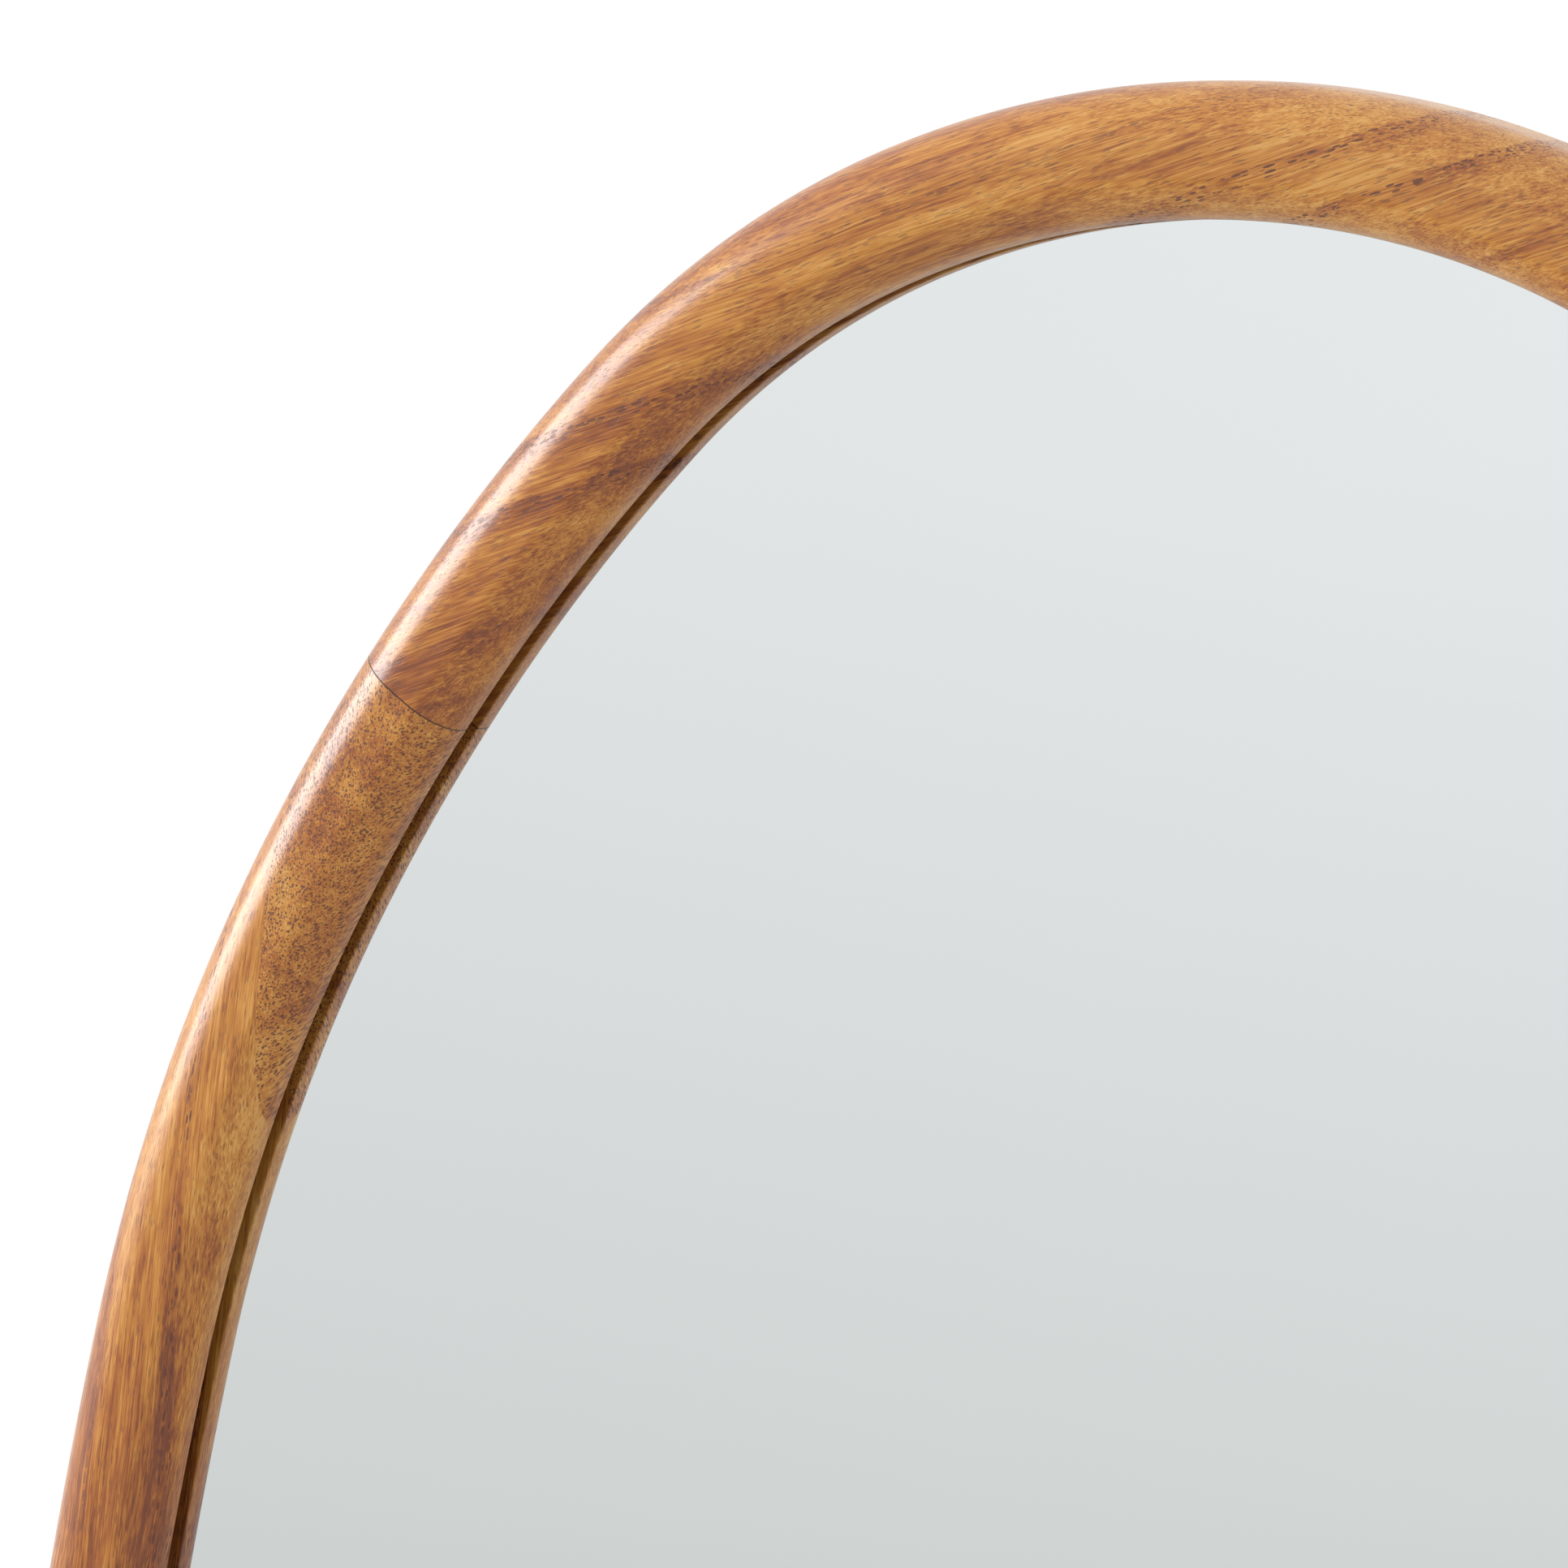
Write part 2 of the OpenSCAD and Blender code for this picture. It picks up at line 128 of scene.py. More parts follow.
def bar_section():
    """Closed section of the bar as (inset from the outer edge, depth behind the front).

    The extra points on the straight stretches keep the smooth shading of the curves off them.
    """
    points = arc_points((NOSE_R, NOSE_R), NOSE_R, 180, 270, 40)
    points += [(u, 0) for u in (20, 22)]
    points += arc_points((BAR - LIP_R, LIP_R), LIP_R, 270, 360, 32)
    points += [(BAR, d) for d in (13, 14)]
    points += arc_points((BAR - ARRIS_R, GLASS_INSET - ARRIS_R), ARRIS_R, 0, 90, 5)
    points += [(u, GLASS_INSET) for u in (33, 30, WALL_W)]
    points += [(WALL_W, d) for d in (20, 25, 30, BAR - BACK_BEVEL)]
    points += [(u, BAR) for u in (WALL_W - BACK_BEVEL, WALL_W - 6, BACK_EDGE_R + 4)]
    points += arc_points((BACK_EDGE_R, BAR - BACK_EDGE_R), BACK_EDGE_R, 90, 180, 14)
    points += [(0, d) for d in (25.5, 23, 20.5)]
    return np.array(points)


def section_normals(section):
    """Outward normal at each point of a closed section."""
    ahead, behind = np.roll(section, -1, axis=0), np.roll(section, 1, axis=0)
    along = ahead - behind
    normal = np.stack([along[:, 1], -along[:, 0]], axis=1)
    normal /= np.linalg.norm(normal, axis=1)[:, None]
    centre = section.mean(axis=0)
    if ((section - centre) * normal).sum() < 0:
        normal = -normal
    return normal


# ---- mesh helpers
def new_object(name, data):
    """An object that holds a mesh, light or camera, linked to the scene."""
    obj = bpy.data.objects.new(name, data)
    bpy.context.scene.collection.objects.link(obj)
    return obj


def object_from(name, verts, faces, sharp_degrees=32):
    """A smooth-shaded object from points in mm, with edges sharper than the limit kept crisp."""
    mesh = bpy.data.meshes.new(name)
    mesh.from_pydata([tuple(float(c) * MM for c in v) for v in verts], [], [tuple(f) for f in faces])
    obj = new_object(name, mesh)
    shade(obj, sharp_degrees)
    return obj


def shade(obj, sharp_degrees=32):
    """Merges doubled points, turns the faces outward and marks the crisp edges."""
    bm = bmesh.new()
    bm.from_mesh(obj.data)
    bmesh.ops.remove_doubles(bm, verts=bm.verts, dist=1e-7)
    bmesh.ops.recalc_face_normals(bm, faces=bm.faces)
    limit = math.radians(sharp_degrees)
    for face in bm.faces:
        face.smooth = True
    for edge in bm.edges:
        edge.smooth = len(edge.link_faces) == 2 and edge.calc_face_angle(0) < limit
    bm.to_mesh(obj.data)
    bm.free()


def grid_faces(rows, cols, closed_cols=True, closed_rows=False):
    """Quads over a grid of points stored row by row."""
    faces = []
    for r in range(rows if closed_rows else rows - 1):
        for c in range(cols if closed_cols else cols - 1):
            r2, c2 = (r + 1) % rows, (c + 1) % cols
            faces.append((r * cols + c, r * cols + c2, r2 * cols + c2, r2 * cols + c))
    return faces


def loft(name, rings):
    """A closed skin over rings of equal length, with flat ends."""
    rings = [np.asarray(r, float) for r in rings]
    cols = len(rings[0])
    faces = grid_faces(len(rings), cols)
    faces.append(tuple(range(cols))[::-1])
    faces.append(tuple(range((len(rings) - 1) * cols, len(rings) * cols)))
    return object_from(name, np.concatenate(rings), faces)


def lathe_mesh(profile, segments=96):
    """Verts and faces of a turned shape: profile is (radius, height), closed if it never meets the axis."""
    profile = [(max(r, 0.0), h) for r, h in profile]
    on_axis = profile[0][0] == 0 and profile[-1][0] == 0
    ring = profile[1:-1] if on_axis else profile
    angles = np.linspace(0, 2 * math.pi, segments, endpoint=False)
    verts = [(r * math.cos(a), r * math.sin(a), h) for r, h in ring for a in angles]
    faces = grid_faces(len(ring), segments, closed_rows=not on_axis)
    if on_axis:
        first, last = len(verts), len(verts) + 1
        verts += [(0, 0, profile[0][1]), (0, 0, profile[-1][1])]
        top = (len(ring) - 1) * segments
        for c in range(segments):
            c2 = (c + 1) % segments
            faces.append((first, c2, c))
            faces.append((last, top + c, top + c2))
    return np.array(verts), faces


def rounded(profile, radius, steps=4):
    """A profile with every corner between its two ends replaced by a small curve."""
    out = [profile[0]]
    for before, here, after in zip(profile, profile[1:], profile[2:]):
        a, b, c = (np.array(p, float) for p in (before, here, after))
        reach = min(radius, np.linalg.norm(a - b) * 0.45, np.linalg.norm(c - b) * 0.45)
        p, q = b + (a - b) / np.linalg.norm(a - b) * reach, b + (c - b) / np.linalg.norm(c - b) * reach
        for t in np.linspace(0, 1, steps):
            out.append(tuple((1 - t) ** 2 * p + 2 * t * (1 - t) * b + t ** 2 * q))
    out.append(profile[-1])
    return out


def laid_along_x(verts, x, z, side=1):
    """A shape standing on the XY plane, laid along +X (side 1) or -X (side -1) from (x, 0, z)."""
    v = np.asarray(verts, float)
    return np.stack([side * (x + v[:, 2]), v[:, 1], z - v[:, 0]], axis=1)


def cut(obj, cutter):
    """Subtracts a closed object and removes it."""
    modifier = obj.modifiers.new("cut", "BOOLEAN")
    modifier.operation = "DIFFERENCE"
    modifier.solver = "EXACT"
    modifier.object = cutter
    graph = bpy.context.evaluated_depsgraph_get()
    mesh = bpy.data.meshes.new_from_object(obj.evaluated_get(graph))
    obj.modifiers.clear()
    obj.data = mesh
    bpy.data.objects.remove(cutter)
    shade(obj)


def join(name, objects):
    """One object from several, each already in place."""
    bm = bmesh.new()
    for obj in objects:
        bm.from_mesh(obj.data)
        bpy.data.objects.remove(obj)
    mesh = bpy.data.meshes.new(name)
    bm.to_mesh(mesh)
    bm.free()
    obj = new_object(name, mesh)
    shade(obj)
    return obj


def side_drill(obj, radius, side, start, stop, z):
    """Cuts a round hole along X, from start to stop on the right (side 1) or the left (side -1)."""
    verts, faces = lathe_mesh([(0, start), (radius, start), (radius, stop), (0, stop)])
    cut(obj, object_from("cutter", laid_along_x(verts, 0, z, side), faces))


def upright_drill(obj, radius, x, y, start, stop, segments=96):
    """Cuts a round hole along Z; six segments make it a hexagon."""
    verts, faces = lathe_mesh([(0, start), (radius, start), (radius, stop), (0, stop)], segments)
    cut(obj, object_from("cutter", verts + np.array([x, y, 0]), faces))


def turned(name, profile, side, z, segments=128):
    """A turned piece lying along X, from a profile of (radius, x)."""
    verts, faces = lathe_mesh(profile, segments)
    return object_from(name, laid_along_x(verts, 0, z, side), faces, 28)


BODIES = frame["record"]["behaviour"]["bodies"]
BODY_OF = {node: body for body, members in BODIES.items() for node in members}


def piece(obj, material, slot, *replaced):
    """Dresses a new piece and ties it to the body of the nodes it stands for."""
    obj.data.materials.clear()
    obj.data.materials.append(material)
    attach(obj, BODY_OF[replaced[0]])
    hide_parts(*replaced)
    return obj


# ---- shader helpers
class Graph:
    """Short calls for building a node tree."""

    def __init__(self, tree):
        self.tree = tree

    def put(self, socket, value):
        """Links a socket to the input, or sets a plain value on it."""
        if isinstance(value, bpy.types.NodeSocket):
            self.tree.links.new(value, socket)
        else:
            socket.default_value = value

    def node(self, kind, settings=None, **inputs):
        """A new node with its settings and inputs; an underscore in an input's name stands for a space."""
        n = self.tree.nodes.new("ShaderNode" + kind)
        for key, value in (settings or {}).items():
            setattr(n, key, value)
        for key, value in inputs.items():
            self.put(n.inputs[key.replace("_", " ")], value)
        return n

    def math(self, operation, *values):
        n = self.node("Math", {"operation": operation})
        for socket, value in zip(n.inputs, values):
            self.put(socket, value)
        return n.outputs[0]

    def vector(self, operation, *values):
        n = self.node("VectorMath", {"operation": operation})
        for socket, value in zip(n.inputs, values):
            self.put(socket, value)
        return n.outputs["Value" if operation in ("DOT_PRODUCT", "LENGTH") else "Vector"]

    def smooth(self, value, low, high, to_low=0.0, to_high=1.0):
        """An S-shaped step from to_low at low to to_high at high."""
        n = self.node("MapRange", {"interpolation_type": "SMOOTHSTEP"})
        for socket, v in zip(n.inputs, (value, low, high, to_low, to_high)):
            self.put(socket, v)
        return n.outputs[0]

    def mix(self, factor, a, b, blend="MIX"):
        n = self.node("Mix", {"data_type": "RGBA", "blend_type": blend})
        self.put(n.inputs[0], factor)
        self.put(n.inputs[6], a)
        self.put(n.inputs[7], b)
        return n.outputs[2]

    def mix_vector(self, factor, a, b):
        n = self.node("Mix", {"data_type": "VECTOR"})
        self.put(n.inputs[0], factor)
        self.put(n.inputs[4], a)
        self.put(n.inputs[5], b)
        return n.outputs[1]

    def ramp(self, factor, stops):
        """Colours along a ramp, from stops of (position, colour)."""
        n = self.node("ValToRGB")
        elements = n.color_ramp.elements
        while len(elements) < len(stops):
            elements.new(0.5)
        for element, (position, colour) in zip(elements, stops):
            element.position = position
            element.color = (*colour, 1)
        self.put(n.inputs[0], factor)
        return n.outputs[0]

    def noise(self, vector, detail, roughness, output=0):
        """Smooth noise of about one unit: output 0 is a value and 1 is a colour."""
        n = self.node("TexNoise", None, Vector=vector, Scale=1.0, Detail=detail, Roughness=roughness)
        return n.outputs[output]

    def scaled(self, vector, *scale):
        return self.vector("MULTIPLY", vector, scale)


def group_tree(name, inputs, outputs):
    """An empty node group with its (label, kind) sockets: returns the tree and its two end nodes."""
    tree = bpy.data.node_groups.new(name, "ShaderNodeTree")
    for label, kind in inputs:
        tree.interface.new_socket(label, in_out="INPUT", socket_type=kind)
    for label, kind in outputs:
        tree.interface.new_socket(label, in_out="OUTPUT", socket_type=kind)
    entry = tree.nodes.new("NodeGroupInput")
    leave = tree.nodes.new("NodeGroupOutput")
    return tree, entry, leave


def new_material(name):
    """A material, its graph and its surface shader."""
    material = bpy.data.materials.new(name)
    material.use_nodes = True
    return material, Graph(material.node_tree), material.node_tree.nodes["Principled BSDF"]


def object_coords_mm(g):
    """Where the surface is on its own piece, in millimetres."""
    return g.scaled(g.node("TexCoord").outputs["Object"], 1 / MM, 1 / MM, 1 / MM)


def even_noise(g, coords, size_mm, detail, roughness):
    """Noise that is the same in every direction, with features of about size_mm."""
    return g.noise(g.scaled(coords, 1 / size_mm, 1 / size_mm, 1 / size_mm), detail, roughness)


def bump(g, shader, height_mm):
    """Bump from a height in millimetres."""
    n = g.node("Bump", None, Strength=1.0, Distance=MM, Height=height_mm)
    g.put(shader.inputs["Normal"], n.outputs[0])


# ---- wood
def vessels(g, p, length, pitch, least, spread, share, wider=0.0):
    """Thin tubes along X, one to a cell of length x pitch mm, of which a share is kept.

    The half-width of a tube, in parts of the pitch, runs from least + wider over a spread.
    """
    stretched = g.scaled(p, 1 / length, 1 / pitch, 1 / pitch)
    cells = g.node("TexVoronoi", {"feature": "F1"}, Vector=stretched, Scale=1.0)
    pick = g.node("SeparateColor", None, Color=cells.outputs["Color"])
    size = g.math("ADD", g.math("MULTIPLY", pick.outputs[0], spread), g.math("ADD", least, wider))
    kept = g.math("LESS_THAN", pick.outputs[1], share)
    inside = g.math("SUBTRACT", size, cells.outputs["Distance"])
    return g.math("MULTIPLY", kept, g.smooth(inside, -0.015, 0.025))


def wood_group():
    """Solid wood, as a node group.

    Vector is in board mm with X along the fibres. Ring is 1 on a growth line and fades off on one side.
    Tone runs from dark to pale, and Pores is how strongly the vessels show.
    """
    tree, entry, leave = group_tree(
        "solid_wood",
        [("Vector", "NodeSocketVector"), ("Ring", "NodeSocketFloat"), ("Tone", "NodeSocketFloat"),
         ("Pores", "NodeSocketFloat")],
        [("Color", "NodeSocketColor"), ("Roughness", "NodeSocketFloat"), ("Height", "NodeSocketFloat")],
    )
    g = Graph(tree)
    p, ring, tone, pores = (entry.outputs[label] for label in ("Vector", "Ring", "Tone", "Pores"))
    patch = g.noise(g.scaled(p, 1 / 90, 1 / 17, 1 / 17), 3, 0.55)
    blotch = g.noise(g.scaled(p, 1 / 30, 1 / 7, 1 / 7), 3, 0.65)
    stripe = g.noise(g.scaled(p, 1 / 120, 1 / 2.0, 1 / 2.0), 3, 0.7)
    fibre = g.noise(g.scaled(p, 1 / 22, 1 / 0.45, 1 / 0.45), 2, 0.7)
    fleck = g.noise(g.scaled(p, 1 / 5.0, 1 / 1.3, 1 / 1.3), 1, 0.5)

    # tone of the ground, from dark red-brown to pale honey
    parts = ((patch, 0.52), (blotch, 0.42), (stripe, 0.46), (fibre, 0.80), (fleck, 0.16))
    total = tone
    for value, weight in parts:
        total = g.math("ADD", total, g.math("MULTIPLY", g.math("SUBTRACT", value, 0.5), weight * 2))
    shade_of_ring = g.math("MULTIPLY", g.math("POWER", ring, 1.6), g.smooth(blotch, 0.36, 0.60, 0.25, 1.0))
    total = g.math("SUBTRACT", total, g.math("MULTIPLY", shade_of_ring, 0.34))
    ground = g.ramp(total, WOOD_GROUND)

    # vessels: thin dark tubes along the fibres, crowded and thick on the growth lines
    crowd = g.math("MULTIPLY", g.smooth(ring, 0.60, 0.92), g.smooth(fleck, 0.34, 0.52, 0.35, 1.0))
    wider = g.math("MULTIPLY", g.math("SUBTRACT", pores, PLAIN_PORES), 0.42)
    share = g.math("ADD", g.math("MULTIPLY", ring, 0.30), 0.62)
    fine_pore = vessels(g, p, 5.2, 0.62, 0.12, 0.22, share, wider)
    elsewhere = g.vector("ADD", p, (31.0, 7.3, 4.1))
    more_pore = vessels(g, elsewhere, 7.5, 0.90, 0.10, 0.18, 0.55, wider)
    thick_pore = g.math("MULTIPLY", crowd, vessels(g, p, 4.4, 0.95, 0.26, 0.20, 0.95))
    pore = g.math("MULTIPLY", g.math("MAXIMUM", fine_pore, g.math("MULTIPLY", more_pore, 1.1)), pores)
    pore = g.math("MAXIMUM", pore, g.math("MULTIPLY", thick_pore, 0.92))
    colour = g.mix(pore, ground, (*WOOD_PORE, 1))

    g.put(leave.inputs["Color"], colour)
    rough = g.math("ADD", g.math("MULTIPLY", fibre, 0.12), g.math("MULTIPLY", pore, 0.18))
    g.put(leave.inputs["Roughness"], g.math("ADD", rough, 0.27))
    height = g.math("SUBTRACT", g.math("MULTIPLY", fibre, 0.024), g.math("MULTIPLY", pore, 0.070))
    g.put(leave.inputs["Height"], g.math("ADD", height, g.math("MULTIPLY", fleck, 0.012)))
    return tree


# Colours of the ground from dark to pale, and of the vessels
WOOD_GROUND = [
    (0.00, (0.200, 0.048, 0.012)),
    (0.25, (0.335, 0.092, 0.014)),
    (0.50, (0.470, 0.168, 0.022)),
    (0.75, (0.585, 0.250, 0.040)),
    (1.00, (0.680, 0.350, 0.088)),
]
WOOD_PORE = (0.125, 0.030, 0.010)
PLAIN_PORES = 0.48
SOLID_WOOD = wood_group()


def board_frame(fibre, pith_side):
    """Rotation from the object's axes to a board's: X along the fibres, Z towards the pith side."""
    x = Vector(fibre).normalized()
    z = Vector(pith_side)
    z = (z - z.dot(x) * x).normalized()
    return Matrix((x, z.cross(x), z))


def warped(g, p):
    """Wavers the grain a little, so that no line runs dead straight."""
    middle = (0.5, 0.5, 0.5)
    slow = g.noise(g.scaled(p, 1 / 230, 1 / 80, 1 / 80), 1, 0.5, output=1)
    quick = g.noise(g.scaled(p, 1 / 42, 1 / 16, 1 / 16), 1, 0.5, output=1)
    shift = g.vector("ADD", g.scaled(g.vector("SUBTRACT", slow, middle), 0, 9, 9),
                     g.scaled(g.vector("SUBTRACT", quick, middle), 0, 1.6, 1.6))
    return g.vector("ADD", p, shift)


def ring_from_lines(g, w, lines):
    """Listed growth lines, each strongest at its position and fading off below it.

    Lines are (position across the board, fade length, strength), in mm and 0 to 1.
    """
    total = 0.0
    for position, fade, strength in lines:
        offset = g.math("SUBTRACT", position, w)
        faded = g.smooth(offset, fade, 0.0, 0.0, strength)
        edge = g.smooth(offset, -0.9, 0.4)
        total = g.math("MAXIMUM", total, g.math("MULTIPLY", faded, edge))
    return total


def ring_from_noise(g, w, spacing):
    """Growth lines at uneven distances, a spacing apart on average, each fading off on one side."""
    rows = g.math("DIVIDE", w, spacing)
    cells = g.node("TexVoronoi", {"voronoi_dimensions": "1D", "feature": "F1"}, W=rows, Scale=1.0)
    offset = g.math("SUBTRACT", cells.outputs["W"], rows)
    pick = g.node("SeparateColor", None, Color=cells.outputs["Color"])
    faded = g.smooth(offset, 0.55, 0.0)
    edge = g.smooth(offset, -0.07, 0.03)
    strength = g.smooth(pick.outputs[0], 0.1, 0.9, 0.3, 1.0)
    return g.math("MULTIPLY", g.math("MULTIPLY", faded, edge), strength)


def drifting_tone(g, coords, tone, drifts):
    """Tone that changes over the length of a board: drifts are (axis, from mm, to mm, change)."""
    axes = g.node("SeparateXYZ", None, Vector=coords)
    for axis, start, stop, change in drifts:
        tone = g.math("ADD", g.smooth(axes.outputs[axis], start, stop, 0.0, change), tone)
    return tone


class Board:
    """How one board lies in the object, and its growth lines: a list, or a spacing in mm."""

    def __init__(self, fibre, pith_side, origin, lines, tone, drifts=(), pores=PLAIN_PORES):
        self.fibre, self.pith_side, self.origin = fibre, pith_side, origin
        self.lines, self.tone, self.drifts, self.pores = lines, tone, drifts, pores

    def nodes(self, g, coords):
        """The board's own coordinates, its growth lines and its tone."""
        turn = board_frame(self.fibre, self.pith_side).to_euler("XYZ")
        from_origin = g.vector("SUBTRACT", coords, self.origin)
        mapping = g.node("Mapping", {"vector_type": "POINT"}, Vector=from_origin, Rotation=turn)
        p = warped(g, mapping.outputs[0])
        w = g.node("SeparateXYZ", None, Vector=p).outputs[2]
        if isinstance(self.lines, list):
            ring = ring_from_lines(g, w, self.lines)
        else:
            ring = ring_from_noise(g, w, self.lines)
        return p, ring, drifting_tone(g, coords, self.tone, self.drifts)


def wood_shader(g, shader, vector, ring, tone, pores, marks=None):
    """Oiled wood on a material's shader; marks adds to its colour."""
    wood = g.node("Group", {"node_tree": SOLID_WOOD}, Vector=vector, Ring=ring, Tone=tone, Pores=pores)
    colour = wood.outputs["Color"]
    if marks:
        colour = marks(g, colour)
    g.put(shader.inputs["Base Color"], colour)
    g.put(shader.inputs["Roughness"], wood.outputs["Roughness"])
    shader.inputs["IOR"].default_value = 1.5
    shader.inputs["Coat Weight"].default_value = 0.30
    shader.inputs["Coat Roughness"].default_value = 0.17
    bump(g, shader, wood.outputs["Height"])


def wood_material(name, board, second=None, seam=None, marks=None):
    """Wood of one board, or of two glued along the plane of a seam, given as (point, normal)."""
    material, g, shader = new_material(name)
    coords = object_coords_mm(g)
    vector, ring, tone = board.nodes(g, coords)
    pores = board.pores
    if second:
        vector2, ring2, tone2 = second.nodes(g, coords)
        point, normal = seam
        side = g.vector("DOT_PRODUCT", g.vector("SUBTRACT", coords, point), normal)
        beyond = g.math("GREATER_THAN", side, 0.0)
        vector = g.mix_vector(beyond, vector, vector2)
        ring = g.math("ADD", g.math("MULTIPLY", ring, g.math("SUBTRACT", 1.0, beyond)),
                      g.math("MULTIPLY", ring2, beyond))
        tone = g.math("ADD", tone, g.math("MULTIPLY", beyond, g.math("SUBTRACT", tone2, tone)))
        pores = g.math("ADD", g.math("MULTIPLY", beyond, second.pores - board.pores), board.pores)
    wood_shader(g, shader, vector, ring, tone, pores, marks)
    return material


def joint_marks(*turns):
    """A dark glue hairline at each turn where two pieces of the frame meet."""

    def add(g, colour):
        coords = object_coords_mm(g)
        for turn in turns:
            point, normal = rim(turn)
            tangent = (normal[1], 0, -normal[0])
            from_joint = g.vector("SUBTRACT", coords, (point[0], 0, point[1]))
            away = g.vector("DOT_PRODUCT", from_joint, tangent)
            line = g.smooth(g.math("ABSOLUTE", away), 0.32, 0.12)
            colour = g.mix(g.math("MULTIPLY", line, 0.85), colour, (*GLUE_LINE, 1))
        return colour

    return add


GLUE_LINE = (0.035, 0.012, 0.006)

# Growth lines of the boards at the top and on the left: (position across the board, fade length, strength)
TOP_LINES = [
    (1330, 8, 0.9), (1345, 12, 0.6), (1362, 14, 0.8), (1379, 9, 0.5), (1392, 12, 1.0), (1410, 14, 0.8),
    (1428, 9, 0.5), (1441, 12, 0.9), (1460, 12, 0.6), (1475, 9, 0.8), (1488, 10, 0.4), (1503, 12, 1.0),
    (1518, 13, 1.0), (1530, 8, 0.4), (1542, 11, 0.8), (1551, 6, 0.5),
]
LEFT_LINES = [
    (-545, 10, 0.7), (-532, 9, 0.5), (-520, 12, 0.8), (-508, 6, 0.4), (-499, 9, 1.0), (-486, 8, 0.5),
    (-475, 7, 0.4), (-462, 14, 1.0), (-449, 8, 0.5),
]
# Degrees by which the fibres lean: off level at the top, off upright on the left
TOP_GRAIN = 18.5
LEFT_GRAIN = 8.5
# A point on the glue seam in the left piece, and the lean of the seam's normal
SEAM_POINT = (-283, -18, 1390)
SEAM_LEAN = 96
X_AXIS, Z_AXIS = 0, 2


def leaning(degrees):
    """Direction in the plane of the mirror, leaning right of vertical."""
    return (math.sin(math.radians(degrees)), 0, math.cos(math.radians(degrees)))


top_board = Board(
    leaning(90 - TOP_GRAIN), leaning(-TOP_GRAIN), (0, 0, 0), TOP_LINES, 0.62,
    drifts=((X_AXIS, -80, -200, -0.24), (X_AXIS, -130, -60, -0.10), (X_AXIS, -60, 20, 0.18),
            (X_AXIS, 50, 110, -0.06)))
left_board = Board(
    leaning(LEFT_GRAIN), leaning(90 + LEFT_GRAIN), (0, 0, 0), LEFT_LINES, 0.52,
    drifts=((Z_AXIS, 1400, 1450, -0.12), (Z_AXIS, 1410, 1380, 0.16), (Z_AXIS, 1350, 1310, -0.06),
            (Z_AXIS, 1310, 1250, -0.26)))
left_inner_board = Board(
    (0.18, 0.72, 0.67), leaning(90 + LEFT_GRAIN), (31, 47, 13), 30.0, 0.55,
    drifts=((Z_AXIS, 1400, 1450, -0.10), (Z_AXIS, 1290, 1235, -0.16)), pores=0.80)
right_board = Board((-0.05, 0.02, 1), (1, 0.3, 0), (70, 15, 40), 15.0, 0.46)
bottom_board = Board((1, 0.03, -0.09), (0, 0.2, -1), (13, 7, 55), 15.0, 0.50)

mat_top = wood_material("wood_frame_top", top_board, marks=joint_marks(JOINT_TURN, -JOINT_TURN))
mat_left = wood_material("wood_frame_left", left_board, left_inner_board, (SEAM_POINT, leaning(SEAM_LEAN)),
                         joint_marks(JOINT_TURN, 180 - JOINT_TURN))
mat_right = wood_material("wood_frame_right", right_board, marks=joint_marks(-JOINT_TURN, JOINT_TURN - 180))
mat_bottom = wood_material("wood_frame_bottom", bottom_board,
                           marks=joint_marks(180 - JOINT_TURN, JOINT_TURN - 180))


# ---- frame segments
SECTION = bar_section()
SECTION_NORMAL = section_normals(SECTION)


def bar_ring(turn, shrink):
    """One ring of bar points at a turning angle, drawn in by shrink mm."""
    point, normal = rim(turn)
    section = SECTION - SECTION_NORMAL * shrink
    ring = np.empty((len(section), 3))
    ring[:, 0] = point[0] - section[:, 0] * normal[0]
    ring[:, 2] = point[1] - section[:, 0] * normal[1]
    ring[:, 1] = section[:, 1] - BAR / 2
    return ring


def frame_segment(name, start, stop, steps, upside_down=False):
    """A stretch of the bar between two joints, with a hair of chamfer at each end."""
    chamfer, near = 0.12, 0.015
    between = np.linspace(start, stop, steps)[1:-1]
    turns = np.concatenate([[start, start + near], between, [stop - near, stop]])
    rings = [bar_ring(turn, chamfer if turn in (start, stop) else 0) for turn in turns]
    if upside_down:
        for ring in rings:
            ring[:, 2] = 2 * MID_Z - ring[:, 2]
    return loft(name, rings)


# ---- other materials
def mirror_material():
    """Silvered glass with a faint uneven haze."""
    material, g, shader = new_material("silvered_mirror")
    haze = even_noise(g, object_coords_mm(g), 60, 3, 0.6)
    g.put(shader.inputs["Base Color"], g.mix(haze, (0.905, 0.925, 0.918, 1), (0.915, 0.932, 0.926, 1)))
    g.put(shader.inputs["Roughness"], g.smooth(haze, 0.35, 0.75, 0.0, 0.012))
    shader.inputs["Metallic"].default_value = 1.0
    return material


def metal_material(name, base, dark, rough):
    """Metal with fine machining lines and a faint tarnish."""
    material, g, shader = new_material(name)
    coords = object_coords_mm(g)
    tarnish = even_noise(g, coords, 9, 4, 0.6)
    lines = g.noise(g.scaled(coords, 1 / 0.25, 1 / 0.25, 1 / 6), 2, 0.6)
    g.put(shader.inputs["Base Color"], g.mix(g.smooth(tarnish, 0.35, 0.75), (*base, 1), (*dark, 1)))
    roughness = g.math("ADD", g.math("MULTIPLY", lines, 0.16), g.math("MULTIPLY", tarnish, rough))
    g.put(shader.inputs["Roughness"], roughness)
    shader.inputs["Metallic"].default_value = 1.0
    bump(g, shader, g.math("MULTIPLY", lines, 0.006))
    return material


